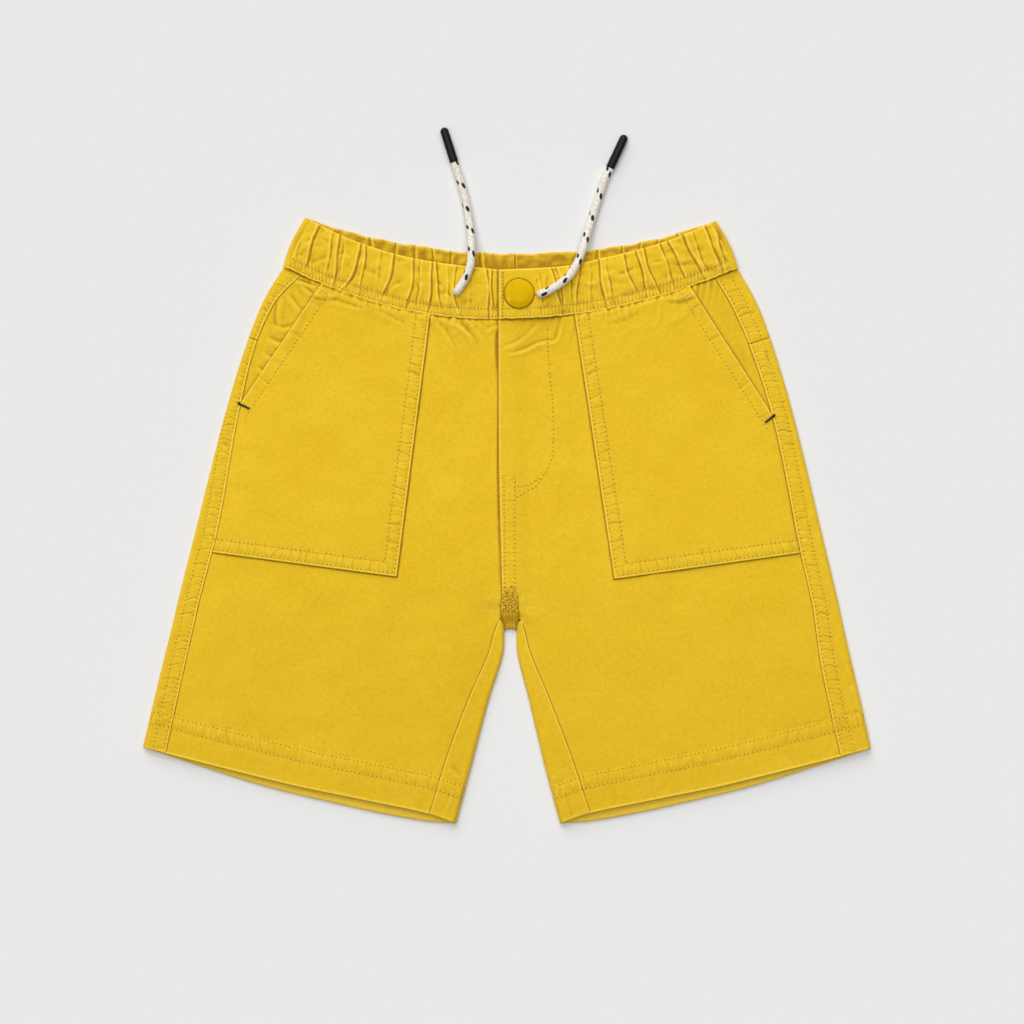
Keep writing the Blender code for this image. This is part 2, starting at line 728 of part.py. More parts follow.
def turned(name, profile, sides, finish):
    """A solid turned round +Z through a profile of (radius, height) points, closed at both ends."""
    bm = bmesh.new()
    before = None
    for radius, height in profile:
        ring = []
        for k in range(sides):
            angle = 2 * math.pi * k / sides
            ring.append(bm.verts.new(Vector((radius * math.cos(angle), radius * math.sin(angle), height)) * MM))
        if before is None:
            bm.faces.new(list(reversed(ring)))
        else:
            for k in range(sides):
                bm.faces.new((before[k - 1], before[k], ring[k], ring[k - 1]))
        before = ring
    bm.faces.new(before)
    return new_object(name, bm, finish)


def snap_cap(name, finish):
    """The painted cap of the snap: a low dome with a rolled rim."""
    rim = 0.7
    profile = [(SNAP_RADIUS - 0.6, 0.0), (SNAP_RADIUS, rim * 0.5), (SNAP_RADIUS, rim), (SNAP_RADIUS - 0.5, rim * 1.9)]
    for share in (0.8, 0.55, 0.3, 0.1):
        dome = SNAP_HEIGHT - (SNAP_HEIGHT - rim * 1.9) * share**2
        profile.append((SNAP_RADIUS * share, dome))
    cap = turned(name, profile, SNAP_SIDES, finish)
    lift = 2 * BAND_FOLD_RADIUS + BAND_WALL + SEAM_GAP + SEAM_GAP
    cap.location = Vector((*SNAP_CENTRE, lift)) * MM
    return cap


def cord_points(table):
    """Points at even steps along a smooth curve through the route's own points."""
    knots = [Vector(row) for row in table.rows]
    fine = []
    for i in range(len(knots) - 1):
        before = knots[i - 1] if i else knots[0] * 2 - knots[1]
        after = knots[i + 2] if i + 2 < len(knots) else knots[-1] * 2 - knots[-2]
        for k in range(12):
            t = k / 12
            a, b = knots[i], knots[i + 1]
            bend_in, bend_out = (b - before) / 2, (after - a) / 2
            fine.append(
                a * (2 * t**3 - 3 * t**2 + 1) + bend_in * (t**3 - 2 * t**2 + t)
                + b * (3 * t**2 - 2 * t**3) + bend_out * (t**3 - t**2)
            )
    fine.append(knots[-1])
    points, walked = [fine[0]], 0.0
    for a, b in zip(fine, fine[1:]):
        walked += (b - a).length
        if walked >= CORD_POINT_STEP:
            points.append(b)
            walked = 0.0
    points[-1] = fine[-1]
    return points


def drawcord(name, table, finish):
    curve = bpy.data.curves.new(name, "CURVE")
    curve.dimensions = "3D"
    curve.bevel_depth = CORD_DIAMETER / 2 * MM
    curve.bevel_resolution = 3
    curve.use_fill_caps = True
    points = cord_points(table)
    spline = curve.splines.new("POLY")
    spline.points.add(len(points) - 1)
    for point, at in zip(spline.points, points):
        point.co = (*(at * MM), 1.0)
    curve.materials.append(finish)
    obj = bpy.data.objects.new(name, curve)
    bpy.context.collection.objects.link(obj)
    return obj


def cord_tip(name, table, finish):
    """The dipped tip in line with the cord's last stretch: a straight sleeve with a round end."""
    radius = TIP_DIAMETER / 2
    profile = [(radius - 0.2, 0.0), (radius, 0.3), (radius * 0.98, TIP_LENGTH - radius)]
    for turn in (30, 60, 84):
        angle = math.radians(turn)
        profile.append((radius * 0.98 * math.cos(angle), TIP_LENGTH - radius + radius * math.sin(angle)))
    tip = turned(name, profile, TIP_SIDES, finish)
    last, before = Vector(table.rows[-1]), Vector(table.rows[-2])
    heading = Vector(((last - before).x, (last - before).y, 0.0)).normalized()
    start = last + heading * (SEAM_GAP + 0.1)
    tip.rotation_mode = "QUATERNION"
    tip.rotation_quaternion = heading.to_track_quat("Z", "Y")
    tip.location = Vector((start.x, start.y, TIP_HEIGHT)) * MM
    return tip


def main():
    for obj in list(bpy.data.objects):
        bpy.data.objects.remove(obj)
    twill = material("mustard_twill", (0.80, 0.50, 0.024), 0.85)
    paint = material("painted_snap", (0.78, 0.47, 0.005), 0.45)
    braid = material("braided_cord", (0.82, 0.79, 0.70), 0.8)
    plastic = material("dipped_tip", (0.03, 0.03, 0.032), 0.5)

    waistband("waistband_right", RIGHT_BAND, twill)
    waistband("waistband_left", LEFT_BAND, twill)
    back_panel("yoke_right", RIGHT, YOKE_DOWNS, twill)
    back_panel("yoke_left", LEFT, YOKE_DOWNS, twill)
    back_panel("back_right", RIGHT, BACK_DOWNS, twill)
    back_panel("back_left", LEFT, BACK_DOWNS, twill)
    front_panel("front_right", RIGHT, RIGHT_POCKET, False, twill)
    front_panel("front_left", LEFT, LEFT_POCKET, True, twill)
    pocket_patch("pocket_right", RIGHT, RIGHT_POCKET, False, twill)
    pocket_patch("pocket_left", LEFT, LEFT_POCKET, True, twill)
    crotch_fell("crotch_fell", twill)
    snap_cap("snap_cap", paint)
    for side, table in (("right", RIGHT_CORD), ("left", LEFT_CORD)):
        drawcord("drawcord_" + side, table, braid)
        cord_tip("cord_tip_" + side, table, plastic)


main()
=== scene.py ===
import math
import bpy
import numpy as np
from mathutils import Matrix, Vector
from mathutils.bvhtree import BVHTree


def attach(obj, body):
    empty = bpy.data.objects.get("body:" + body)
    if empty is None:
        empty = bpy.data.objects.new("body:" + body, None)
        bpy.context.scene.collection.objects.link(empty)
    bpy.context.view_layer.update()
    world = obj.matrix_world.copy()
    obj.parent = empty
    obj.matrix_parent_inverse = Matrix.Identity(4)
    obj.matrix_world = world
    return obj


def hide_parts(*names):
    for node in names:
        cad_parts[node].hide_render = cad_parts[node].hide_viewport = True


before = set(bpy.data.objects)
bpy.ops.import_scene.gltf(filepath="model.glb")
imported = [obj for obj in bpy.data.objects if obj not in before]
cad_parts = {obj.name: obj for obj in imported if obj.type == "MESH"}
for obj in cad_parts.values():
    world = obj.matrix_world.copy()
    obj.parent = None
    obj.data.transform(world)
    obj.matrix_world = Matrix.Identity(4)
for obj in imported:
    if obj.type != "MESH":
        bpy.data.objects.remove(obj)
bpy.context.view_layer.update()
mm = 0.001
print("shorts: frame loaded")

# Camera: straight above the middle of the photo, 0.62 mm to a pixel
camera = {"middle": (3.1, 5.3), "height": 2000.0, "view": 635.0}
bpy.ops.object.select_all(action="DESELECT")
bpy.ops.object.camera_add(location=[v * mm for v in (*camera["middle"], camera["height"])])
eye = bpy.context.object
eye.rotation_euler = (0.0, 0.0, 0.0)
eye.data.sensor_width = 36.0
eye.data.lens = 36.0 * camera["height"] / camera["view"]
eye.data.clip_end = 20.0
bpy.context.scene.camera = eye


class Wire:
    # a shader value that Python's own signs can work on
    def __init__(self, finish, socket):
        self.finish, self.socket = finish, socket

    def combine(self, operation, other, turned=False):
        first, second = (other, self) if turned else (self, other)
        return self.finish.node("Math", {"operation": operation}, {0: first, 1: second})

    def __add__(self, other):
        return self.combine("ADD", other)

    __radd__ = __add__

    def __sub__(self, other):
        return self.combine("SUBTRACT", other)

    def __rsub__(self, other):
        return self.combine("SUBTRACT", other, True)

    def __mul__(self, other):
        return self.combine("MULTIPLY", other)

    __rmul__ = __mul__

    def __abs__(self):
        return self.finish.node("Math", {"operation": "ABSOLUTE"}, {0: self})

    def near(self, middle, reach):
        # 1 where the value is at the middle, falling softly to 0 at the reach
        sockets = {0: abs(self - middle), 1: 0.0, 2: reach, 3: 1.0, 4: 0.0}
        return self.finish.node("MapRange", {"interpolation_type": "SMOOTHSTEP"}, sockets)

    def within(self, low, high, toLow=0.0, toHigh=1.0):
        # the value's share of the way from low to high, held at both ends
        sockets = {0: self, 1: low, 2: high, 3: toLow, 4: toHigh}
        return self.finish.node("MapRange", {"clamp": True}, sockets)

    def part(self, number):
        return self.finish.node("SeparateXYZ", {}, {0: self}, number)


class Finish:
    # a material: node() makes any node, its settings first and then its sockets
    def __init__(self, name, **uniform):
        self.material = bpy.data.materials.new(name)
        self.material.use_nodes = True
        self.tree = self.material.node_tree
        self.surface = self.tree.nodes["Principled BSDF"]
        for key, value in uniform.items():
            self.surface.inputs[key.replace("_", " ")].default_value = value

    def node(self, kind, settings, sockets, out=0):
        made = self.tree.nodes.new("ShaderNode" + kind)
        for key, value in settings.items():
            setattr(made, key, value)
        for key, value in sockets.items():
            self.feed(made.inputs[key], value)
        return Wire(self, made.outputs[out])

    def feed(self, socket, value):
        if isinstance(value, Wire):
            self.tree.links.new(value.socket, socket)
        else:
            socket.default_value = value

    def noise(self, place, scale, detail, rough=0.5):
        sockets = {"Vector": place, "Scale": scale, "Detail": detail, "Roughness": rough}
        return self.node("TexNoise", {}, sockets)

    def mix(self, share, a, b):
        return self.node("Mix", {"data_type": "RGBA"}, {0: share, 6: a, 7: b}, 2)

    def put(self, **values):
        for key, value in values.items():
            self.feed(self.surface.inputs[key.replace("_", " ")], value)


def coloured(*values):
    # linear values from the usual 0 to 255 ones
    return (*[(v / 255 / 12.92 if v < 10.3 else ((v / 255 + 0.055) / 1.055) ** 2.4) for v in values], 1.0)


# The twill's tones: a lighter one for worn ridges, painted highlights and grain, and a darker one for painted
# shade, grain and the darkening towards the hems
twillLook = {"cloth": (229, 187, 22), "paintedLightAndWear": (249, 214, 74), "deep": (160, 114, 6), "pale": (233, 193, 32),
             "weave": 0.00052}


def twillFinish(name):
    finish = Finish(name, Roughness=0.86, Sheen_Weight=0.12, Sheen_Roughness=0.5, Specular_IOR_Level=0.25)
    cloth, pale, paintedLightAndWear, deep = [coloured(*twillLook[key]) for key in ("cloth", "pale", "paintedLightAndWear", "deep")]
    place = finish.node("TexCoord", {}, {}, 3)
    shadingAndWear = finish.node("Attribute", {"attribute_name": "shadingAndWear"}, {}, 2)
    slow = finish.noise(place, 22.0, 3.0, 0.6)
    quick = finish.noise(place, 420.0, 3.0, 0.65)
    thread = finish.noise(place, 1700.0, 1.0, 0.5)
    ribs = {"Scale": 2 * math.pi / 20 / twillLook["weave"] / 1.7, "Distortion": 1.2, "Detail": 1.0}
    weave = finish.node("TexWave", {"wave_type": "BANDS", "bands_direction": "DIAGONAL"},
                        {"Vector": place, **ribs, "Detail Scale": 2.0}, 1)
    cloth = finish.mix(slow.within(0.35, 0.7), cloth, pale)
    # Where the form stands up or the marks lighten it, the lighter tone: worn ridges and painted highlights;
    # where it sinks or they darken it, painted shade in hollows, creases and beside edges
    ridge = (shadingAndWear + 0.5 * (quick - 0.5) * shadingAndWear.within(0.02, 0.25)).within(0.06, 0.5)
    hollow = (shadingAndWear * -1.0).within(0.06, 0.42)
    cloth = finish.mix(ridge * 0.7, cloth, paintedLightAndWear)
    cloth = finish.mix(hollow * 0.85, cloth, deep)
    fine = (quick * 0.6 + thread * 0.4).within(0.3, 0.7, -0.5, 0.5)
    cloth = finish.mix(fine.within(0.0, 0.5) * 0.22, cloth, paintedLightAndWear)
    cloth = finish.mix((fine * -1.0).within(0.0, 0.5) * 0.22, cloth, deep)
    ladder = finish.node("Attribute", {"attribute_name": "ladder"}, {}, 1)
    along, across, strength = ladder.part(0), ladder.part(1), ladder.part(2)
    even = strength.within(1.0, 1.3)
    onSeam = finish.node("CombineXYZ", {}, {0: along, 1: across * 0.16})
    wander, strong = finish.noise(onSeam, 0.9, 1.0), finish.noise(onSeam, 0.57, 0.0)
    swayed = along + wander * (1.5 - 0.8 * even) + across * 0.07
    step = finish.node("Math", {"operation": "FRACT"}, {0: swayed})
    shown = across.within(-1.25, -0.95) * across.within(1.0, 2.1, 1.0, 0.0)
    shown = shown * (1.0 - 0.55 * even * across.near(0.0, 0.85))
    patchy = strong.within(0.36, 0.6, 0.15, 1.0)
    strength = shown * strength * (patchy + even * (1.0 - patchy) * 0.35)
    reach = 0.15 + 0.1 * even
    rung, swell = step.near(0.4, reach) * strength, step.near(0.62, reach * 1.15) * strength
    crease = finish.node("Attribute", {"attribute_name": "crease"}, {}, 1)
    side, drawn = crease.part(0), crease.part(1).within(0.0, 1.4)
    dark, bright = side.near(1.35, 0.7) * drawn, side.near(0.0, 0.9) * drawn
    # Painted shade on each pucker's rung and in each crease's trough, and a painted highlight on each swell
    # and crease crest
    cloth = finish.mix(rung * 0.58 + dark * 0.45, cloth, deep)
    cloth = finish.mix(swell * 0.45 + bright * 0.18, cloth, paintedLightAndWear)
    cloth = finish.mix(place.part(1).within(0.03, -0.19, 0.0, 0.16), cloth, deep)
    finish.put(Base_Color=cloth)
    high = weave * 0.4 + quick * 0.9 + thread * 0.3 + (swell + bright) * 1.6 - (rung + dark) * 2.4
    finish.put(Normal=finish.node("Bump", {}, {"Strength": 0.35, "Distance": 0.00022, "Height": high}))
    return finish.material


def plainFinish(name, colour, rough, grain=900.0, **uniform):
    finish = Finish(name, Roughness=rough, **uniform)
    place = finish.node("TexCoord", {}, {}, 3)
    cloud = finish.noise(place, grain, 3.0)
    darker = (colour[0] * 0.9, colour[1] * 0.9, colour[2] * 0.9, 1.0)
    finish.put(Base_Color=finish.mix(cloud.within(0.35, 0.65), darker, colour))
    finish.put(Roughness=cloud.within(0.3, 0.7, rough - 0.06, rough + 0.06))
    return finish.material


def braidFinish():
    finish = Finish("braidedCord", Roughness=0.75, Sheen_Weight=0.1)
    place = finish.node("TexCoord", {}, {}, 3)
    fleck = finish.node("Attribute", {"attribute_name": "fleck"}, {}, 2)
    cloud = finish.noise(place, 900.0, 2.0)
    pale = finish.mix(cloud.within(0.3, 0.7), coloured(208, 200, 182), coloured(247, 243, 232))
    cord = finish.mix((fleck + (cloud - 0.5) * 0.3).within(0.4, 0.6), pale, coloured(8, 8, 9))
    finish.put(Base_Color=cord)
    finish.put(Normal=finish.node("Bump", {}, {"Strength": 0.3, "Distance": 0.0002, "Height": cloud}))
    return finish.material


twill = twillFinish("mustardTwill")
thread = plainFinish("mustardThread", coloured(246, 208, 66), 0.7)
# Flat dark discs, painted shade: in the needle holes, in the eyelets and beside the crotch knots
holeShade = plainFinish("holeShade", coloured(172, 124, 6), 0.9)
blackThread = plainFinish("blackThread", coloured(26, 36, 32), 0.7)
knotThread = plainFinish("knotThread", coloured(226, 184, 40), 0.8)
braid = braidFinish()
tipPlastic = plainFinish("dippedTip", coloured(12, 12, 13), 0.42, 500.0, Specular_IOR_Level=0.22)
capPaint = plainFinish("snapPaint", coloured(219, 173, 0), 0.2, 160.0, Specular_Tint=(1.0, 0.78, 0.06, 1.0))
print("shorts: finishes made")


class SizeTable:
    # rows of sizes in millimetres under named columns, read between the rows on a smooth curve
    def __init__(self, columns, rows):
        self.columns = columns.split()
        self.rows = np.array(rows, float)

    def read(self, name, at):
        x, y = self.rows[:, 0], self.rows[:, self.columns.index(name)]
        at = np.clip(at, x[0], x[-1])
        i = np.clip(np.searchsorted(x, at, side="right") - 1, 0, len(x) - 2)
        step = np.diff(x)
        slope = np.diff(y) / step
        tangent = np.zeros(len(x))
        tangent[0], tangent[-1] = slope[0], slope[-1]
        product = slope[:-1] * slope[1:]
        bends = np.where(product > 0)[0]
        tangent[bends + 1] = 2 * product[bends] / (slope[bends] + slope[bends + 1])
        t = (at - x[i]) / step[i]
        bulge = t * (1 - t) * step[i]
        line = y[i] + (y[i + 1] - y[i]) * t
        return line + bulge * ((tangent[i] - slope[i]) * (1 - t) - (tangent[i + 1] - slope[i]) * t)


def smooth(t):
    t = np.clip(t, 0.0, 1.0)
    return t * t * (3 - 2 * t)


def between(a, b, share):
    return a + (b - a) * share


# The cut, as in the part: lengths down the leg along its outer fold, and what each section has there
cut = {"twill": 1.2, "hemWall": 2.0, "seamGap": 0.3, "layerGap": 0.4, "foldRadius": 1.75,
       "hemFoldRadius": 2.3, "bodyHeight": 5.6, "hemHeight": 5.2, "outerRise": 28.0, "innerRise": 22.0,
       "crotchEase": 30.0,
       "yoke": 48.0, "fellEnd": 219.0, "crotch": 226.0, "hemEdge": 314.0, "hemDepth": 24.0,
       "flyLap": 5.0, "lapMargin": 1.5, "lapEase": 14.0, "seamLift": 0.35}
sectionColumns = "down outerX outerY innerX innerY backX backY sag seam inseam"
rightTable = SizeTable(sectionColumns, [
    (0, -138.3, 157.2, -5, 124.2, 5, 133.6, 9, 10.6, 0),
    (23.6, -150.4, 136.9, -5, 103, 4.8, 110, 7.2, 6.2, 0),
    (48, -160, 113.2, -5, 80, 4.6, 86, 5, 5.2, 0),
    (92, -173, 71.6, -4.8, 38, 4.2, 41, 3, 7.6, 0),
    (181, -195, -14.8, -2.9, -44.7, 2.9, -44.7, 1, 13.2, 0),
    (219, -204.8, -54, -2.9, -55.5, 2.6, -55.5, 0, 13.2, 0),
    (226, -206.5, -61.7, -1.8, -61.2, -1.8, -61.2, 0, 13.3, 2.8),
    (238, -209.3, -72.9, -1.8, -77, -1.8, -77, 0, 13.4, 7.8),
    (253, -213, -87.7, -11.5, -111.3, -11.5, -111.3, 0, 13.6, 11.8),
    (281, -219.5, -115, -22.9, -154.7, -22.9, -154.7, 0, 14, 15.7),
    (314, -225.4, -140.3, -31.6, -187.5, -31.6, -187.5, 0, 14.5, 16.7),
])
leftTable = SizeTable(sectionColumns, [
    (0, 142.9, 155.9, -5, 124.2, 5, 133.6, 8.2, 14, 0),
    (23.6, 154.4, 135.4, -5, 103, 4.8, 110, 6.6, 14.2, 0),
    (48, 163, 113.2, -5, 80, 4.6, 86, 5, 13.4, 0),
    (92, 176.3, 69.1, -4.8, 38, 4.2, 41, 3, 12.6, 0),
    (181, 196.9, -16.1, -2.9, -46.5, 2.9, -46.5, 0, 15.6, 0),
    (219, 205.9, -54, -2.9, -55.5, 2.6, -55.5, 0, 16.4, 0),
    (226, 207.5, -61.7, 6.2, -61.8, 6.2, -61.8, 0, 17, 2.6),
    (238, 210, -72.9, 5.9, -77, 5.9, -77, 0, 17.9, 6.8),
    (253, 213.4, -87.7, 13.7, -111.3, 13.7, -111.3, 0, 19, 12),
    (281, 219.8, -115, 24, -154.7, 24, -154.7, 0, 19.6, 17.3),
    (314, 225.4, -141, 32.9, -187.5, 32.9, -187.5, 0, 19.2, 19),
])
hemDrop = SizeTable("share front back", [
    (0, 0, 0), (0.15, 0.6, 2.6), (0.45, 1, 6), (0.70, -0.6, 5.4), (0.90, -1.9, 3.2), (1, 0, 0)])


def foldRadius(down):
    return between(cut["foldRadius"], cut["hemFoldRadius"], smooth((down - 230.0) / 70.0))


class Leg:
    # one half of the body; places on it go by how far down the leg and how far in from its outer fold
    def __init__(self, table, name, lapsOver):
        self.table, self.name, self.lapsOver = table, name, lapsOver
        self.side = name.lower()
        self.turn, self.order = (-1.0, 0.0) if lapsOver else (1.0, 1.0)

    def ends(self, down, layer):
        name = "inner" if layer == "front" else "back"
        return [self.table.read(key, down) for key in ("outerX", "outerY", name + "X", name + "Y")]

    def width(self, down, layer="front"):
        outerX, outerY, innerX, innerY = self.ends(down, layer)
        return np.hypot(innerX - outerX, innerY - outerY)

    def place(self, down, inwards, layer="front"):
        outerX, outerY, innerX, innerY = self.ends(down, layer)
        share = inwards / np.hypot(innerX - outerX, innerY - outerY)
        inside = np.clip(share, 0.0, 1.0)
        y = between(outerY, innerY, share) - self.table.read("sag", down) * 4 * inside * (1 - inside)
        y = y - hemDrop.read(layer, inside) * smooth((down - 200.0) / 100.0)
        return between(outerX, innerX, share), y

    def height(self, down, inwards):
        radius = foldRadius(down)
        full = between(cut["bodyHeight"], cut["hemHeight"], smooth(down / cut["hemEdge"])) - 2 * radius
        outerShare = smooth((inwards - radius) / cut["outerRise"])
        innerShare = smooth((self.width(down) - inwards - radius) / cut["innerRise"])
        belowCrotch = smooth((down - cut["crotch"] + cut["crotchEase"]) / cut["crotchEase"])
        up = 2 * radius + full * outerShare * between(1.0, innerShare, belowCrotch)
        if self.lapsOver:
            beside = self.width(down) - inwards - cut["flyLap"] - cut["lapMargin"]
            step = cut["twill"] + cut["seamGap"]
            aboveFell = 1 - smooth((down - cut["fellEnd"]) / 14.0)
            up = up + step * (1 - smooth(beside / cut["lapEase"])) * aboveFell
        return up

    def find(self, x, y):
        # the (down, inwards) of places on the front, by halving
        low, high = np.zeros_like(x), np.full_like(x, cut["hemEdge"])
        for _ in range(22):
            down = (low + high) / 2
            outerX, outerY, innerX, innerY = self.ends(down, "front")
            wide = np.hypot(innerX - outerX, innerY - outerY)
            inwards = ((x - outerX) * (innerX - outerX) + (y - outerY) * (innerY - outerY)) / wide
            above = self.place(down, inwards)[1] > y
            low, high = np.where(above, down, low), np.where(above, high, down)
        return down, inwards


right = Leg(rightTable, "Right", False)
left = Leg(leftTable, "Left", True)


def softNoise(x, y, size, seed):
    # a cloth's slow unevenness: a few long waves that cross at odd angles, between -1 and 1
    total = np.zeros_like(x)
    for k in range(6):
        angle = 2.4 * k + seed
        wave = 2 * math.pi / (size * (0.62 + 0.17 * k))
        bend = 1.3 * np.sin((x * math.sin(angle) - y * math.cos(angle)) * wave * 0.43 + 5 * k + seed)
        total = total + np.sin((x * math.cos(angle) + y * math.sin(angle)) * wave + bend + 1.7 * k * seed)
    return total / 4.0


def uneven(x, y, long, short, seed):
    return 0.25 * softNoise(x, y, long, seed) + 0.03 * softNoise(x, y, short, seed + 1)


def nearLine(points, x, y):
    # distance from a line of points, to its left, and how far along it the nearest place is
    best = np.full(x.shape, 1e9)
    side, along = np.zeros(x.shape), np.zeros(x.shape)
    walked = 0.0
    for (ax, ay), (bx, by) in zip(points, points[1:]):
        dx, dy = bx - ax, by - ay
        length = math.hypot(dx, dy)
        share = np.clip(((x - ax) * dx + (y - ay) * dy) / length**2, 0.0, 1.0)
        offX, offY = x - ax - dx * share, y - ay - dy * share
        off = np.hypot(offX, offY)
        nearer = off < best
        best = np.where(nearer, off, best)
        side = np.where(nearer, np.sign(dx * offY - dy * offX), side)
        along = np.where(nearer, walked + share * length, along)
        walked += length
    return best * side, along, walked


def rounded(points):
    # the same line with its corners cut off three times
    for _ in range(3):
        cuts = [((1 - share) * ax + share * bx, (1 - share) * ay + share * by)
                for (ax, ay), (bx, by) in zip(points, points[1:]) for share in (0.25, 0.75)]
        points = [points[0], *cuts, points[-1]]
    return points


def folds(rows, x, y):
    # each fold: its height, reach, the trough beside it and its line; gives the form and the line for its
    # painted shade and highlight
    total, nearest = np.zeros_like(x), np.full(x.shape, 1e9)
    across, drawn = np.full(x.shape, 9.0), np.zeros(x.shape)
    for height, reach, trough, *line in rows:
        off, along, length = nearLine(rounded(list(zip(line[::2], line[1::2]))), x, y)
        shown = smooth(along / (0.3 * length)) * smooth((length - along) / (0.3 * length))
        turned = off / reach * math.copysign(1.0, trough)
        dip = abs(trough) * bell(turned - 1.5, 0.8)
        total = total + 0.75 * shown * height * (np.exp(-np.abs(turned) ** 1.7) - dip)
        nearer = np.abs(off) < nearest
        nearest = np.where(nearer, np.abs(off), nearest)
        across = np.where(nearer, turned, across)
        drawn = np.where(nearer, shown * abs(trough) * height * 2.6, drawn)
    return total, (np.clip(across, -9.0, 9.0), drawn, 0 * drawn)


def bell(off, reach):
    # 1 at nothing, falling softly on both sides
    return np.exp(-((off / reach) ** 2))


def groove(off):
    return -0.1 * bell(off, 0.8)


def broken(x, short, long, least):
    # a share that comes and goes along a line, about the least one that it names
    return least + (1 - least) * np.sin(x / short + 1.5 * np.sin(x / long))


def rungs(along, share, spacing, seed, slant=0.0):
    # small puckers that cross a double row of stitches like a ladder's rungs
    s = along + slant * share
    phase = s / spacing + 0.35 * np.sin(s / 11.0 + seed) + 0.25 * np.sin(s / 4.3 + 2 * seed)
    strength = 0.6 + 0.4 * np.sin(s / 23.0 + 3 * seed)
    window = np.sin(math.pi * np.clip(share, 0.0, 1.0))
    return np.maximum(0.0, np.sin(2 * math.pi * phase)) ** 1.4 * strength * window


def blurred(values, reach):
    padded = np.pad(values, reach, mode="edge")
    for axis in (0, 1):
        total = np.cumsum(padded, axis=axis)
        zero = np.zeros_like(np.take(total, [0], axis=axis))
        total = np.concatenate([zero, total], axis=axis)
        size = padded.shape[axis] - 2 * reach
        late = np.take(total, range(2 * reach + 1, 2 * reach + 1 + size), axis=axis)
        padded = (late - np.take(total, range(size), axis=axis)) / (2 * reach + 1)
    return padded


def meshPiece(name, points, faces, material, slot, *nodes, edges=()):
    # a smooth mesh of places in millimetres, which stands for the nodes that it names
    mesh = bpy.data.meshes.new(name)
    mesh.from_pydata((points * mm).tolist(), edges, faces)
    mesh.shade_smooth()
    mesh.materials.append(material)
    piece = bpy.data.objects.new(name, mesh)
    bpy.context.collection.objects.link(piece)
    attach(piece, "root")
    if nodes:
        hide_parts(*nodes)
    return piece


def mark(mesh, key, values):
    kind, field = ("FLOAT_VECTOR", "vector") if values.ndim > 1 else ("FLOAT", "value")
    mesh.attributes.new(key, kind, "POINT").data.foreach_set(field, values.ravel().astype(np.float32))


# The cloth pieces, for laying stitches on
shownTops = []


def clothWall(name, outer, inner, node, shadeAndWearMarks, missing=None, reach=2):
    # a closed shell between two grids of places, coloured by its form, with painted highlights where it
    # stands up and painted shade where it sinks, and by the painted light, shade and wear that it is given
    rows, columns = outer.shape[:2]
    count = rows * columns
    index = np.arange(count).reshape(rows, columns)
    keep = np.ones((rows - 1, columns - 1), bool) if missing is None else ~missing
    corners = index[:-1, :-1], index[:-1, 1:], index[1:, 1:], index[1:, :-1]
    upper = np.stack([corner[keep] for corner in corners], 1)
    i, j = rows // 2, columns // 2
    over, down = outer[i, j + 1] - outer[i, j], outer[i + 1, j] - outer[i, j]
    if np.dot(np.cross(over, down), outer[i, j] - inner[i, j]) < 0:
        upper = upper[:, ::-1]
    start, end = upper.ravel(), np.roll(upper, -1, axis=1).ravel()
    rim = ~np.isin(start * count + end, end * count + start)
    rimFaces = np.stack([end[rim], start[rim], start[rim] + count, end[rim] + count], 1)
    faces = np.concatenate([upper, upper[:, ::-1] + count, rimFaces])
    used, faces = np.unique(faces, return_inverse=True)
    faces = faces.reshape(-1, 4).tolist()
    points = np.concatenate([outer.reshape(-1, 3), inner.reshape(-1, 3)])[used]
    piece = meshPiece(name, points, faces, twill, "twill", node)
    form = shadeAndWearMarks["form"]
    # the form against its blurred self: a painted highlight where it stands up and painted shade where it
    # sinks, added to the given painted light, shade and wear
    lift = (form - blurred(form, reach) + shadeAndWearMarks["paintedLightAndWear"]).ravel()
    mark(piece.data, "shadingAndWear", np.clip(np.concatenate([lift, lift - 0.06])[used], -1.0, 1.0))
    for key, none in (("ladder", (0.0, 9.0, 0.0)), ("crease", (9.0, 0.0, 0.0))):
        triple = [np.tile((0 * form + values).ravel(), 2)[used] for values in shadeAndWearMarks.get(key, none)]
        mark(piece.data, key, np.stack(triple, -1))
    shownTops.append(BVHTree.FromPolygons((points * mm).tolist(), faces))
    return piece


noMarks = (0.0, 0.0, 0.0, 9.0, 0.0)


def joinedWall(name, blocks, node, missing=None, reach=2):
    # a wall of grids side by side, each with its outer and inner places, form, painted light and wear, and
    # ladder
    whole = [np.concatenate([block[k] + 0 * block[0] for block in blocks], 1) for k in range(11)]
    shadeAndWearMarks = {"form": whole[6], "paintedLightAndWear": whole[7], "ladder": whole[8:]}
    return clothWall(name, np.stack(whole[:3], -1), np.stack(whole[3:6], -1), node, shadeAndWearMarks, missing, reach)


def walked(x, y):
    # how far each place is down its column of a grid
    step = np.hypot(np.diff(x, axis=0), np.diff(y, axis=0))
    return np.concatenate([np.zeros((1, x.shape[1])), np.cumsum(step, axis=0)])


def spaced(length, count, fine=(0.0, 0.12, 0.35, 0.7, 1.15, 1.7, 2.4, 3.2)):
    # shares along a length, closer together at both ends so that an edge rolls over crisply
    fine = np.array(fine)
    even = np.linspace(4.2, length - 4.2, count - 2 * len(fine))
    return np.concatenate([fine, even, length - fine[::-1]]) / length


def stripSpaced(count):
    # shares from 0 on a strip's seam to 1 on its fold, closer together at the seam
    return np.concatenate([[0.0, 0.012, 0.035, 0.065], np.linspace(0.1, 1.0, count - 4)])


# Doubled seams: the two rows lie this far from the edge, and the pocket's mouth has one row of its own
doubleRow = {"near": 1.6, "far": 8.2, "mouth": 7.2, "puff": 0.3, "rung": 0.25, "rim": 0.8}
hemRows = {"near": 15.8, "far": 23.0}


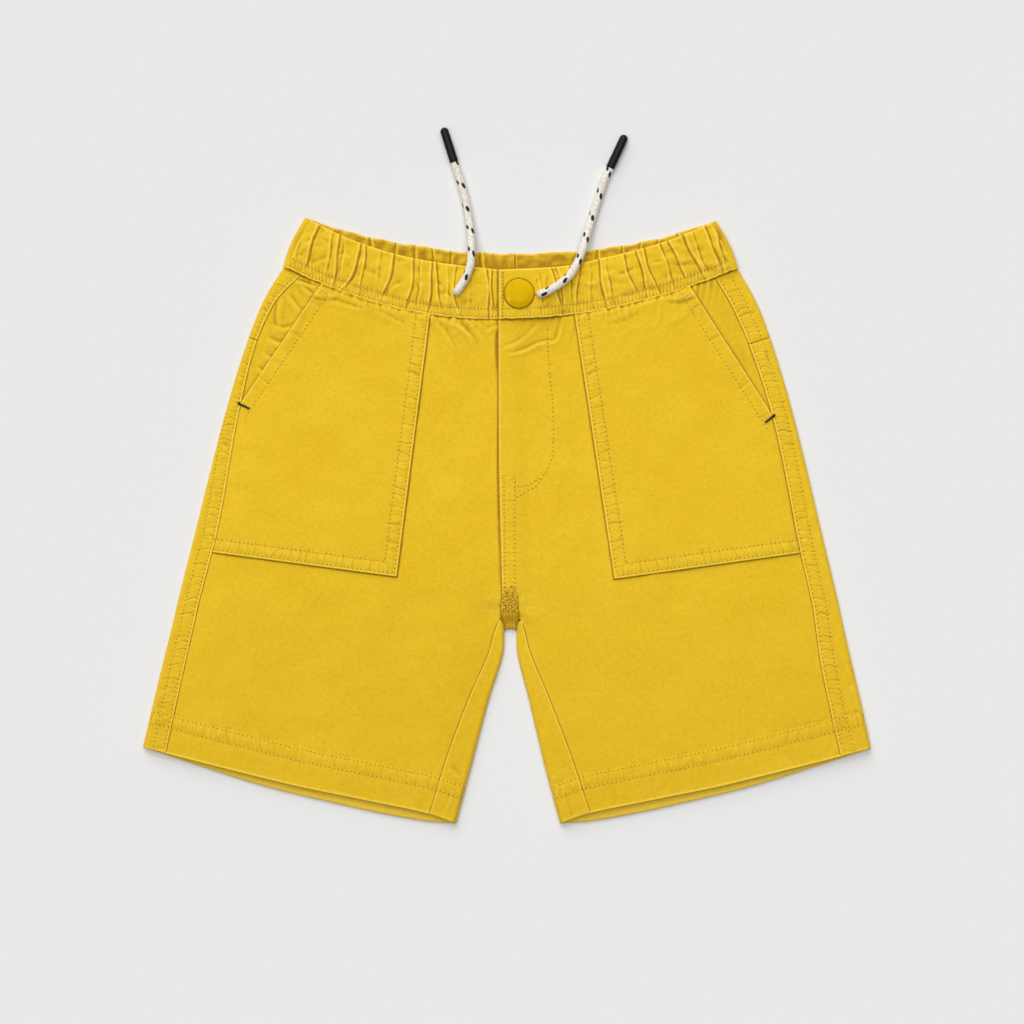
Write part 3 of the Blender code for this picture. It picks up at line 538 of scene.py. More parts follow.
def doubleSeam(off, along, spacing, seed, near=doubleRow["near"], far=doubleRow["far"], slant=0.0):
    # off is how far a place is from the seam's edge
    share = (off - near) / (far - near)
    inside = np.sin(math.pi * np.clip(share, 0.0, 1.0)) ** 0.7
    relief = groove(off - near) + groove(off - far) + doubleRow["puff"] * inside
    return relief + doubleRow["rung"] * rungs(along, share, spacing, seed, slant)


def ladderOn(off, along, spacing, strength, near=doubleRow["near"], far=doubleRow["far"]):
    # where a place is on a doubled seam: how far along in steps, from -1 on its near row to 1 on its far one,
    # and how strongly its puckers show
    return along / spacing, (off - (near + far) / 2) * 2 / (far - near), strength + 0 * off


def nearerLadder(first, second):
    closer = np.abs(first[1]) < np.abs(second[1])
    return [np.where(closer, a, b) for a, b in zip(first, second)]


def rimDrop(off, depth):
    # the edge of a top layer: past a slight lip it falls, and its last half millimetre lies low
    return depth * (1 - smooth((off + 0.4) / 0.45)) - 0.12 * bell(off - 0.35, 0.45)


def rimHighlightAndShadow(off, bright=0.95):
    # a painted highlight just inside a top layer's edge and a painted shadow on the low rim past it
    return bright * bell(off - 0.42, 0.42) - 1.1 * (1 - smooth((off + 0.25) / 0.25))


def hemRelief(fromEdge, along, seed):
    near, far = hemRows["near"], hemRows["far"]
    relief = doubleSeam(fromEdge, along, 8.5, seed, near, far)
    roll = 0.25 * bell(fromEdge - 0.5, 0.6) - 0.25 * np.exp(-fromEdge / 0.12)
    step = 0.35 * smooth((far + 1.8 - fromEdge) / 1.6)
    return relief + roll + step


# Folds of the fronts: height, reach, how deep the trough beside it is, then each point's x and y
frontFolds = {
    "Right": [
        (0.5, 1.9, 0.5, -58, 137, -46, 124, -36, 112, -30, 98),
        (0.6, 1.9, 0.6, -57, 131, -44, 125.4, -26, 118, -18, 106),
        (0.55, 1.8, 0.5, -43, 137, -32, 124, -22, 111, -17, 100),
        (0.55, 1.8, 0.5, -35, 135, -26, 125, -16, 114, -12, 106),
        (0.45, 1.6, 0.5, -28, 131, -20, 123, -12, 116), (0.5, 1.6, 0.5, -15, 114, -9, 118.6, -3, 120),
        (0.55, 1.5, 0.5, -150, 113, -141, 108, -133, 111), (0.5, 1.4, 0.5, -152, 104, -144, 98, -138, 100),
        (0.5, 1.3, 0.5, -156, 95, -150, 90, -146, 92), (0.5, 1.5, 0.5, -146, 121, -138, 117, -130, 121),
        (0.6, 1.6, -0.5, -139, 139, -142, 128, -140, 118), (0.5, 1.5, 0.5, -137, 140, -132, 134, -127, 127),
        (0.65, 1.3, 0.7, -132, 148, -126, 146.4, -117, 143),
        (0.5, 1.3, 0.6, -129, 145, -124, 142.2, -120, 138), (0.4, 8, 0, -16, -42, -34, -12, -52, 8),
        (0.4, 10, 0, -20, -66, -44, -92, -70, -118),
    ],
    "Left": [
        (0.75, 1.7, 0.45, -6, 101, 7, 102.5, 15.6, 106.3, 21, 109.4, 31.4, 109.4, 33.8, 118.4, 36, 132),
        (0.6, 2, 0.4, -10, 102, 5, 107.8, 13.5, 113.2, 24, 126), (0.3, 1.5, 0.4, 24, 98, 27, 92, 31, 96),
        (0.3, 1.4, 0.4, 41, 124, 38, 114, 37.5, 104), (0.5, 3, 0.4, 150, 128, 147, 112, 152, 96),
        (0.45, 1.8, 0.4, 140, 136, 146, 128, 150, 118), (0.3, 4, 0, 24, 96, 24, 40),
        (0.4, 8, 0, 16, -46, 34, -22, 52, 2), (0.4, 10, 0, 24, -66, 48, -92, 74, -120),
    ],
}


# At the waist seam the cloth dips and is tucked under the band's edge
waist = {"dip": 1.2, "reach": 0.9, "tuck": 1.0, "rise": 0.6, "riseReach": 7.0, "underBand": 0.25}


def waistPuckers(x, down, seed):
    # short folds that run down from the gathered waist seam
    total = np.zeros_like(x)
    rows = (4.3, 0.26, 0.0), (7.9, 0.34, 1.9), (13.7, 0.4, 4.1)
    for spacing, height, turn in rows:
        lean = x + 0.22 * down * math.sin(turn + seed)
        wave = np.sin(2 * math.pi * lean / spacing + 1.4 * np.sin(lean / 17.0 + seed) + turn)
        reach = 7.0 + 5.0 * np.sin(lean / 9.0 + turn)
        total = total + height * (np.maximum(0.0, wave) ** 2 - 0.3) * bell(down, reach)
    return total * (0.35 + 0.65 * smooth((np.abs(x - 12) - 20) / 22))


# Patch pockets: the shares of the waist where they start, their corners, and how far down their edges end
pockets = {
    "Right": {"topInner": 0.68, "topOuter": 0.176, "lowInner": (-68.3, -34.6), "lowOuter": 183.5,
              "mouthEnd": 89.0},
    "Left": {"topInner": 0.683, "topOuter": 0.2, "lowInner": (66.5, -36.0), "lowOuter": 182.5,
             "mouthEnd": 93.0},
}


def sideSeam(leg, down):
    return leg.place(down, leg.table.read("seam", down) + 0.15)


def pocketEdges(leg):
    # the pocket's free edges, as lines: its inner side, its foot, and its mouth down to the side seam
    size, wide = pockets[leg.name], leg.width(0.0)
    ends = [leg.place(0.15, wide * size["topInner"]), size["lowInner"], sideSeam(leg, size["lowOuter"]),
            leg.place(0.15, wide * size["topOuter"]), sideSeam(leg, size["mouthEnd"])]
    topInner, lowInner, lowOuter, mouthTop, mouthEnd = [tuple(map(float, end)) for end in ends]
    return {"inner": [topInner, lowInner], "lower": [lowInner, lowOuter], "mouth": [mouthTop, mouthEnd]}


def insidePocket(leg, x, y, down):
    # how far inside the pocket's outline a place is
    inner, lower, mouth = [leg.turn * nearLine(edge, x, y)[0] for edge in pocketEdges(leg).values()]
    mouth = np.where(down > pockets[leg.name]["mouthEnd"], 99.0, mouth)
    return np.minimum(np.minimum(-inner, -lower), mouth)


# The front grids start with these steps at the waist, and the fronts' own rows go on from there to the hem
edgeSteps = np.array([0.0, 0.3, 0.7, 1.2, 1.8])
frontGrid = {"upper": (2.7, 36.0, 1.1), "middle": (36.4, 286.0, 1.6), "hem": (286.0, 28),
             "last": (1.2, 0.7, 0.3, 0.0), "across": (190.0, 160)}


def frontRows():
    (hem, count), last = frontGrid["hem"], cut["hemEdge"] - np.array(frontGrid["last"])
    upper, middle = np.arange(*frontGrid["upper"]), np.arange(*frontGrid["middle"])
    return np.concatenate([0.15 + edgeSteps, upper, middle, np.linspace(hem, last[0], count), last[1:]])


def frontPlaces(leg):
    # how far down and in each place is, where the panel starts and ends beside it, and 1 below the crotch
    down, share = np.meshgrid(frontRows(), spaced(*frontGrid["across"]), indexing="ij")
    seam, inseam = leg.table.read("seam", down), leg.table.read("inseam", down)
    start = seam + cut["seamGap"] / 2
    end = leg.width(down) - inseam - np.where(down >= cut["crotch"], cut["seamGap"] / 2, 0.0)
    below = smooth((down - cut["crotch"]) / 4)
    rim = doubleRow["rim"] * (1 - below) if leg.lapsOver else 0.0
    if not leg.lapsOver:
        end = end + cut["flyLap"] * (1 - smooth((down - 190.0) / 20.0))
    return down, between(start, end + rim, share), start, end, below


def frontPanel(leg):
    down, inwards, start, end, below = frontPlaces(leg)
    x, y = leg.place(down, inwards)
    base = leg.height(down, inwards)
    far = walked(x, y)
    fromEdge = far[-1] - far
    seed = 1.0 + leg.order
    inPocket = insidePocket(leg, x, y, down)
    relief, crease = folds(frontFolds[leg.name], x, y)
    relief += waistPuckers(x, far, seed)
    relief += uneven(x, y, 34.0, 9.0, seed)
    hemZone = smooth((cut["hemDepth"] + 8 - fromEdge) / 6)
    relief = relief * (1 - 0.7 * hemZone) + hemRelief(fromEdge, inwards, seed)
    relief += 0.12 * hemZone * softNoise(x, y, 12.0, seed + 2)
    relief = relief * (1 - smooth(inPocket / 2))
    toInner = end - inwards
    ladder = ladderOn(fromEdge, inwards, 7.5, 0.3, **hemRows)
    if leg.lapsOver:
        relief += flyRelief(x, y) * (1 - below)
        inFly = 9.0 * (y > 26.0) + np.abs((x - 1.4) / 3.3)
        ladder = nearerLadder(ladder, (y / 4.5, inFly, 0.45 + 0 * y))
    form = relief.copy()
    # Painted highlight along the hem's edge with painted shade right at it, painted shade where the front
    # meets the side strip, and painted shade along its edge below the crotch
    hemLit = 0.95 * bell(fromEdge - 0.75, 0.5) - 0.8 * bell(fromEdge, 0.2)
    paintedLightAndWear = hemLit - 0.6 * bell(inwards - start, 0.5)
    belowEdge = np.where(below > 0.5, toInner, 99.0)
    paintedLightAndWear -= 0.55 * bell(belowEdge, 0.5)
    # Painted light that lifts the shading of the slope above the crotch
    paintedLightAndWear += 0.3 * np.exp(-(((y + 52) / 7) ** 2) - ((x - 1) / 18) ** 2)
    relief -= 0.25 * (np.exp(-(inwards - start) / 0.4) + np.exp(-belowEdge / 0.35))
    if leg.lapsOver:
        # Painted highlight along the fly's edge with a painted shadow on its low rim; painted shade in the
        # crotch knots and in a line beside them
        paintedLightAndWear += rimHighlightAndShadow(toInner) * (1 - below)
        relief -= rimDrop(toInner, 1.2) * (1 - below)
        besideKnots = bell(x - knotZone["right"], 0.8) * smooth((-40 - y) / 12)
        paintedLightAndWear -= knots(x, y) * 0.8 + 0.5 * besideKnots * (1 - below)
    else:
        standsOff = smooth((y - 89) / 14) * smooth((121 - y) / 9)
        beside = inwards - leg.width(down) + 1.0
        shade = bell(beside, 0.55 + 0.4 * standsOff) * (1 - below) * smooth((y + 63) / 4)
        paintedLightAndWear -= (0.55 + 0.5 * standsOff) * shade
        relief -= (0.25 + 1.2 * standsOff) * shade
    # Painted shade round the pocket's outline, and in a broken line under the waistband's edge
    paintedLightAndWear -= 0.3 * bell(inPocket, 1.2) + 0.35 * broken(x, 1.9, 6.3, 0.6) * bell(far, 0.7)
    relief -= 0.15 * bell(inPocket, 0.9)
    size = pockets[leg.name]
    mouthAt, innerAt = [leg.width(0.0) * size[key] for key in ("topOuter", "topInner")]
    relief += waist["rise"] * bell(far, waist["riseReach"])
    # Painted shade in the wedge beside the pocket's mouth
    besideMouth = smooth(-inPocket) * smooth((mouthAt + 2 - inwards) / 4)
    paintedLightAndWear -= 0.1 * (besideMouth * (down < size["mouthEnd"]))
    underPocket = smooth((inwards - mouthAt + 1) / 3) * smooth((innerAt - inwards + 1) / 3)
    relief -= between(0.5, waist["dip"], underPocket) * bell(far, waist["reach"])
    y[0], relief[0] = y[0] + waist["tuck"], relief[0] - waist["underBand"]
    outer = np.stack([x, y, base + relief], -1)
    thick = between(cut["twill"], cut["hemWall"], smooth((cut["hemDepth"] + 2 - fromEdge) / 3))
    inner = np.stack([x, y, np.minimum(base - thick, base + relief - 0.35)], -1)
    shadeAndWearMarks = {"form": form, "paintedLightAndWear": paintedLightAndWear, "ladder": ladder, "crease": crease}
    return clothWall("front" + leg.name, outer, inner, "front_" + leg.side, shadeAndWearMarks)


# Mock fly: rows of stitches on the left front, from the waist seam round to the centre
flyRows = {
    "outer": ((24.8, 122.1), (25.4, 101.4), (26.8, 87.7), (28.2, 73.7), (28.9, 53), (28.2, 40.6),
              (24.8, 30.8), (17.9, 21.1), (5.4, 14.2)),
    "inner": ((20.5, 26.7), (14, 22.5), (5.4, 20.5)),
    "bar": ((-3.1, 28.3), (4.7, 28.3)),
    "edge": ((-1.9, 27.5), (-1.4, -48.4)),
    "second": ((4.7, 27.5), (4.7, -48.4)),
}


def flyRelief(x, y):
    total = np.zeros_like(x)
    for row in flyRows.values():
        total += groove(nearLine(row, x, y)[0])
    inside = (y < 27.5) & (y > -50)
    total += np.where(inside, 0.3 * rungs(y, (x + 1.9) / 6.6, 7.0, 2.0), 0.0)
    off, along = nearLine(flyRows["outer"], x, y)[:2]
    total += 0.22 * bell(off, 3.0) * np.maximum(0.0, np.sin(along / 1.1 + np.sin(along / 5.0)))
    return total + 0.5 * knots(x, y)


# The rows run together into knots above the crotch, inside these edges
knotZone = {"left": -5.4, "right": 6.9, "top": -38.0, "foot": -58.0}


def knots(x, y):
    inside = smooth((x - knotZone["left"]) / 1.2) * smooth((knotZone["right"] - x) / 1.2)
    inside = inside * smooth((knotZone["top"] - y) / 9) * smooth((y - knotZone["foot"]) / 2)
    swirl = np.sin(2.6 * y + 2.1 * np.sin(1.3 * x)) * np.sin(2.3 * x + 1.6 * np.sin(0.9 * y))
    return inside * (0.35 + 0.65 * np.abs(swirl))


# Creases on the side strips, and folds of the pockets
stripFolds = {
    "Right": [
        (0.4, 1.2, 0.5, -42, -190, -37, -178, -31, -163), (0.4, 1.4, 0.4, -38, -153, -31, -158, -24, -164),
        (0.4, 1.2, 0.5, -222, -114, -212, -118, -201, -122),
        (0.4, 1.3, 0.4, -223, -113, -213, -107, -203, -100),
        (0.35, 1.4, 0.4, -206, -62, -200, -55, -196, -44), (0.35, 1.4, 0.4, -190, 0, -184, 6, -180, 16),
        (0.4, 1.2, 0.5, -178, 52, -172, 50, -166, 56), (0.4, 1.3, 0.4, -160, 104, -155, 96, -157, 86),
    ],
    "Left": [
        (0.4, 1.2, 0.5, 32, -160, 36, -174, 40, -188), (0.4, 1.4, 0.4, 24, -162, 33, -156, 42, -150),
        (0.4, 1.3, 0.4, 203, -74, 209, -87, 214, -100), (0.4, 1.3, 0.5, 212, -97, 216, -108, 221, -121),
        (0.4, 1.2, 0.5, 202, -122, 212, -121, 223, -119), (0.4, 1.3, 0.4, 160, 112, 158, 101, 163, 92),
        (0.35, 1.2, 0.4, 176, 60, 180, 50, 178, 40), (0.35, 1.2, 0.4, 190, 6, 194, -4, 192, -16),
    ],
}
pocketFolds = {
    "Right": [
        (0.4, 3, 0.3, -122, 140, -131, 122, -140, 104), (0.6, 1.5, -0.6, -124, 141, -112, 138, -101, 140),
        (0.5, 1.6, 0.5, -112, 136, -96, 131, -84, 129), (0.4, 1.3, 0.4, -96, 137, -86, 131, -82, 126),
        (0.45, 1.7, 0.4, -84, 130, -70, 123, -60, 117), (0.35, 1.4, 0.4, -60, 126, -54, 121, -50, 112),
    ],
    "Left": [
        (0.6, 1.5, 0.6, 120, 142, 108, 137, 96, 137), (0.4, 2.2, 0.3, 118, 138, 108, 126, 96, 120),
        (0.4, 1.8, 0.35, 84, 134, 74, 127, 60, 123), (0.3, 2.4, -0.25, 86, 124, 76, 117, 64, 112),
        (0.3, 1.2, 0.4, 76, 131, 73, 128, 76, 124), (0.35, 1.4, 0.4, 93, 134, 95, 126, 90, 118),
    ],
}


def inset(points, off):
    # a line moved off millimetres to its left
    moved = []
    for k, (x, y) in enumerate(points):
        ax, ay = points[max(k - 1, 0)]
        bx, by = points[min(k + 1, len(points) - 1)]
        length = math.hypot(bx - ax, by - ay)
        moved.append((x - (by - ay) / length * off, y + (bx - ax) / length * off))
    return moved


# A pocket's grid: steps down the mouth, rows below it, and columns
pocketGrid = {"mouth": (92.0, 2.6, 58), "below": (96.0, 82), "across": (120.0, 108)}


def pocketPlaces(leg):
    # from its inner edge to its mouth and, below that, to the side seam, row by row
    size, edges, rim = pockets[leg.name], pocketEdges(leg), doubleRow["rim"] * leg.turn
    topInner, lowInner = np.array(inset(edges["inner"], rim))
    lowInner = lowInner + np.array(inset(edges["lower"], rim)[0]) - np.array(edges["lower"][0])
    mouthTop, mouthEnd = np.array(inset(edges["mouth"], -rim)[0]), np.array(edges["mouth"][1])
    long, first, count = pocketGrid["mouth"]
    mouth = np.concatenate([edgeSteps / long, np.linspace(first / long, 1.0, count)])[:, None]
    lower = spaced(*pocketGrid["below"])[8:]
    lower[0] = 0.01
    lowest = size["lowOuter"] + doubleRow["rim"]
    downs = between(size["mouthEnd"], lowest, lower)
    side = np.stack(sideSeam(leg, downs), -1)
    outerEdge = np.concatenate([mouthTop + (mouthEnd - mouthTop) * mouth, side])
    downShare = np.concatenate([mouth[:, 0] * size["mouthEnd"], downs])[:, None] / lowest
    innerEdge = topInner + (lowInner - topInner) * downShare
    share = spaced(*pocketGrid["across"])[None, :, None]
    flat = innerEdge[:, None] + (outerEdge - innerEdge)[:, None] * share
    sag = leg.table.read("sag", 0.0) * (share * (1 - share))[..., 0] * (1 - downShare)
    return flat[..., 0], flat[..., 1] - sag


def pocketPatch(leg):
    size, edges, turn = pockets[leg.name], pocketEdges(leg), leg.turn
    x, y = pocketPlaces(leg)
    down, inwards = leg.find(x, y)
    base = leg.height(down, inwards) + cut["layerGap"] + cut["twill"]
    (toInner, byInner), (toLow, byLow), (toMouth, byMouth) = [
        nearLine(edges[key], x, y)[:2] for key in ("inner", "lower", "mouth")]
    toInner, toLow = -turn * toInner, -turn * toLow
    atMouth = down < size["mouthEnd"] + 0.5
    toMouth = np.where(atMouth, turn * toMouth, 99.0)
    toSide = np.where(atMouth, 99.0, inwards - leg.table.read("seam", down) - 0.15)
    seed = 4.0 + leg.order
    relief, crease = folds(pocketFolds[leg.name], x, y)
    relief += waistPuckers(x, down, seed) * smooth((toMouth - 3) / 8)
    relief += uneven(x, y, 30.0, 8.0, seed)
    lowSeam = doubleSeam(toLow, byLow, 6.0, seed + 1, slant=-2.0 * turn)
    relief += np.where(toInner < toLow, doubleSeam(toInner, byInner, 7.0, seed), lowSeam)
    relief += groove(toMouth - doubleRow["mouth"]) + 0.3 * bell(toMouth, 4.0)
    onInner, onLow = ladderOn(toInner, byInner, 5.5, 0.75), ladderOn(toLow, byLow + 300.0, 5.5, 0.65)
    onMouth = ladderOn(toMouth, byMouth + 600.0, 11.0, 0.4, -1.0, doubleRow["mouth"])
    ladder = nearerLadder([np.where(toInner < toLow, a, b) for a, b in zip(onInner, onLow)], onMouth)
    nearest = np.minimum(np.minimum(toInner, toLow), toMouth)
    form = relief.copy()
    # Painted highlight along the pocket's edges with painted shadow on their low rims, painted shade in a
    # broken line under the waistband and along the side seam
    paintedLightAndWear = rimHighlightAndShadow(nearest) - 0.35 * broken(x, 2.3, 5.1, 0.6) * bell(down, 0.7) - 0.8 * bell(toSide, 0.55)
    relief -= rimDrop(nearest, 1.3) + 1.15 * (1 - smooth(toSide / 1.8))
    dip = waist["dip"] * bell(down, waist["reach"])
    relief += waist["rise"] * bell(down, waist["riseReach"]) - dip
    y[0], relief[0] = y[0] + waist["tuck"], relief[0] - waist["underBand"]
    outer = np.stack([x, y, base + relief], -1)
    low = np.minimum(base - cut["twill"] - 0.2 - dip, base + relief - 0.1)
    shadeAndWearMarks = {"form": form, "paintedLightAndWear": paintedLightAndWear, "ladder": ladder, "crease": crease}
    piece = clothWall("pocket" + leg.name, outer, np.stack([x, y, low], -1), "pocket_" + leg.side, shadeAndWearMarks)
    return piece


# The backs' and yokes' grids: columns on a strip and on the underside, and the gap at their front seams
wrapGrid = {"strip": 22, "floor": 26, "seamGap": 0.08}


def backWrap(leg, name, node, downs):
    # from the front seam round the outer fold, under the leg and, below the crotch, round the inner fold
    down = downs[:, None]
    radius, floorWidth, frontWidth = foldRadius(down), leg.width(down, "back"), leg.width(down)
    toHem = down - (cut["hemEdge"] - cut["hemDepth"] - 1.5)
    thick = between(cut["twill"], cut["hemWall"], smooth(toHem / 3))
    angle = math.pi / 2 * (1 + np.linspace(0.0, 2.0, 9)[1:-1][None, :])
    strip = 1 - stripSpaced(wrapGrid["strip"])[None, :]
    seam, inseam = [leg.table.read(key, down) + wrapGrid["seamGap"] for key in ("seam", "inseam")]
    stripIn, innerIn = between(radius, seam, strip), between(radius, inseam, strip[:, ::-1])
    endGap = np.where(down < cut["crotch"], cut["seamGap"] / 2, radius)
    floorIn = between(radius, floorWidth - endGap, np.linspace(0.0, 1.0, wrapGrid["floor"])[None, :])
    seed = 6.0 + leg.order

    def stripBlock(edge, inwards, fromFold, doubled):
        x, y = leg.place(down + 0 * inwards, inwards)
        up = leg.height(down, inwards) + cut["seamLift"]
        fromEdge = walked(x, y)[-1] - walked(x, y) + (0.0 if down[-1] > 300 else 100.0)
        off = edge - fromFold
        relief = 0 * x
        ladder = ladderOn(fromEdge, inwards + 90.0, 6.5, 0.4, **hemRows)
        if doubled:
            relief += doubleSeam(off, down + 0 * inwards, 5.0, seed) * smooth((fromEdge - 22) / 6)
            swayed = down + 1.0 * np.sin(off / 2.1)
            ladder = nearerLadder(ladder, ladderOn(off, swayed, 4.4, 0.95))
        relief += 0.15 * softNoise(x, y, 13.0, seed) * smooth(off / 3)
        relief += folds(stripFolds[leg.name], x, y)[0] * smooth(off / 2)
        relief += np.where(fromEdge < 40, hemRelief(fromEdge, inwards, seed), 0.0)
        # Painted highlights along the seam's edge and along the hem's edge
        paintedLightAndWear = 0.95 * bell(off - 0.4, 0.45) + 0.95 * bell(fromEdge - 0.75, 0.5)
        laid = (relief - 0.12 * np.exp(-np.abs(off) / 0.3)) * smooth(fromFold / 4)
        return x, y, up + laid, x, y, up - thick, relief, paintedLightAndWear, *ladder

    def foldBlock(inner):
        places = []
        for size in (radius, radius - thick):
            inwards, up = radius + size * np.cos(angle), radius + size * np.sin(angle)
            if inner:
                inwards, up = floorWidth - inwards[:, ::-1], up[:, ::-1]
            places += [*leg.place(down + 0 * inwards, inwards, "back"), up]
        return *places, *noMarks

    x, y = leg.place(down + 0 * floorIn, floorIn, "back")
    # The back's hem, where it shows below the front's, painted lighter against the shadow the front's hem
    # casts on it
    floor = x, y, 0.0, x, y, thick, 0.0, 0.85 * smooth((down - 304) / 3), *noMarks[2:]
    blocks = [stripBlock(seam, stripIn, stripIn, True), foldBlock(False), floor, foldBlock(True),
              stripBlock(inseam, frontWidth - innerIn, innerIn, False)]
    ends = np.cumsum([block[0].shape[1] for block in blocks])
    missing = np.zeros((len(downs) - 1, ends[-1] - 1), bool)
    missing[:, ends[2] - 1:] = (downs[:-1] < cut["crotch"])[:, None]
    return joinedWall(name, blocks, node, missing)


# The band's top edge, from the side to the middle, on the front and on the back
topColumns = "share frontX frontY backX backY"
rightTop = SizeTable(topColumns, [
    (0, -124.8, 187.5, -124.8, 187.5), (0.25, -94.5, 173.2, -92, 177.2), (0.5, -63.5, 163.6, -59, 170.6),
    (0.75, -34, 158.5, -27, 166.4), (1, -5, 155.3, 5, 165)])
leftTop = SizeTable(topColumns, [
    (0, 129.3, 185.4, 129.3, 185.4), (0.25, 97, 172.4, 97.5, 175.6), (0.5, 63, 163.3, 66, 169.4),
    (0.75, 28, 156.7, 36, 166.2), (1, -5, 155.1, 5, 165)])
bandSize = {"wall": 2.6, "shown": 1.4, "foldRadius": 3.3, "lap": 24.0, "lapEase": 26.0, "waistGap": 0.45,
            "sideBulge": 1.7, "nearRow": 1.7, "farRow": 6.3, "deep": 33.5, "snap": (7.5, 140.2)}
bandGrid = {"down": 54, "front": 310, "back": 200, "turn": 13, "under": 14, "sideShare": 0.03}
# Pleats: where the crest crosses the top edge, the middle and the seam, height, reach, the side of its trough
pleats = {
    "Right": [
        (-126, -130, -133, 0.5, 1.6, 0.3), (-116.5, -122.5, -126.5, 1.1, 1.2, 0.5),
        (-108.2, -111, -113, 0.6, 1.2, 0.4), (-104.2, -106, -108.5, 1.2, 1.2, 0.5),
        (-99.5, -101, -104, 0.4, 1.4, -0.3), (-91.3, -94.5, -103.4, 1.4, 1.2, 0.6),
        (-88, -89.4, -92.8, 1, 1, 0.5), (-79, -80.5, -84, 0.35, 1.6, 0.3),
        (-70.5, -73.6, -80.4, 1.2, 1.2, 0.5), (-58.6, -59.6, -64, 1.3, 1.1, 0.5),
        (-52.5, -53.5, -55.5, 0.4, 1.2, -0.4), (-47.2, -47.6, -50.2, 1.4, 1, 0.6),
        (-44.4, -43.4, -39.8, 1.1, 1, 0.5), (-37.5, -37, -36, 0.4, 1.3, 0.3),
        (-31.5, -33.6, -28.4, 0.8, 1.1, 0.4), (-22, -24, -24.5, 0.35, 1.3, 0.3),
        (-13.6, -12.2, -12.6, 1, 1.1, 0.5), (-10.2, -9.8, -9.6, 1.1, 0.9, 0.7),
    ],
    "Left": [
        (18, 20.5, 22, 0.5, 1.1, 0.4), (26, 30.6, 33, 0.9, 1.1, 0.5), (31, 35, 36.6, 0.8, 1, -0.5),
        (37.5, 39, 40.2, 0.7, 1, 0.4), (44.6, 43, 42.2, 0.9, 1, 0.5), (50.5, 51, 52, 0.4, 1.3, 0.3),
        (57.8, 59.6, 63, 1.4, 1.1, -0.6), (60.6, 62.4, 66, 0.6, 1, 0.4), (71, 75.4, 82.4, 0.8, 1.2, 0.4),
        (80.4, 84.6, 87.9, 1.2, 1, -0.6), (83.6, 88, 94.6, 1.3, 1, 0.6), (93.2, 98.6, 103.2, 0.9, 1.2, 0.4),
        (100.2, 107.2, 114.6, 1.1, 1.1, -0.5), (109.8, 116.4, 124.2, 1.5, 1.2, -0.6),
        (113.6, 119, 126, 0.7, 1, 0.4), (121, 127.4, 132.4, 1.1, 1.2, 0.5),
        (126.6, 131.4, 136, 0.8, 1.3, 0.4),
    ],
}


class Band:
    # half of the waistband: depth is 0 on its top edge and 1 on the waist seam, and share runs to the middle
    def __init__(self, leg, top):
        self.leg, self.top = leg, top

    def place(self, depth, share, layer="front"):
        share = np.clip(share, 0.0, 1.0)
        topX, topY = self.top.read(layer + "X", share), self.top.read(layer + "Y", share)
        lowX, lowY = self.leg.place(0.0 * share, self.leg.width(0.0, layer) * share, layer)
        x, y = between(topX, lowX, depth), between(topY, lowY + bandSize["waistGap"], depth)
        bulge = bandSize["sideBulge"] * 4 * depth * (1 - depth) * smooth(1 - share * 4)
        return x + np.sign(lowX) * bulge, y

    def across(self, depth, layer="front"):
        # the way from the side to the middle
        middle, side = self.place(depth, 1.0 + 0 * depth, layer), self.place(depth, 0 * depth, layer)
        return middle[0] - side[0], middle[1] - side[1]

    def lift(self, share, depth):
        if not self.leg.lapsOver:
            return 0.0 * share
        fromMiddle = (1 - share) * np.hypot(*self.across(depth))
        over = bandSize["wall"] + cut["seamGap"]
        return over * (1 - smooth((fromMiddle - bandSize["lap"] - cut["lapMargin"]) / bandSize["lapEase"]))


rightBand, leftBand = Band(right, rightTop), Band(left, leftTop)


def pleatRelief(leg, x, depth):
    # a thin crest with its crease close beside it, and a broad soft rise on its other side
    relief, creases, paintedLightAndWear = np.zeros_like(x), np.zeros_like(x), np.zeros_like(x)
    for top, middle, low, height, reach, trough in pleats[leg.name]:
        crest = top * (1 - depth) * (1 - 2 * depth) + 4 * middle * depth * (1 - depth)
        crest = crest + low * depth * (2 * depth - 1)
        wobble = 0.5 * np.sin(depth * 7.0 + top) * np.sin(math.pi * depth)
        off = (x - crest - wobble) / reach * math.copysign(1.0, trough)
        strength = height * (0.75 + 0.25 * np.sin(depth * 5.0 + top * 0.7))
        core = np.exp(-np.abs(off / 0.5) ** 1.8)
        broad = bell(off + 1.0, 2.0)
        dark = bell(off - 1.05, 0.42)
        hollow = bell(off - 2.6, 1.3)
        relief = np.maximum(relief, strength * (0.55 * core + 0.25 * broad))
        creases = np.maximum(creases, (0.2 + 0.7 * abs(trough)) * strength * (0.85 * dark + 0.15 * hollow))
        # Painted highlight on each crest, painted shade in its crease and, faintly, in its hollow
        paintedLightAndWear += strength * (0.75 * core - (0.25 + 0.6 * abs(trough)) * dark - 0.05 * hollow)
    return relief - creases, paintedLightAndWear


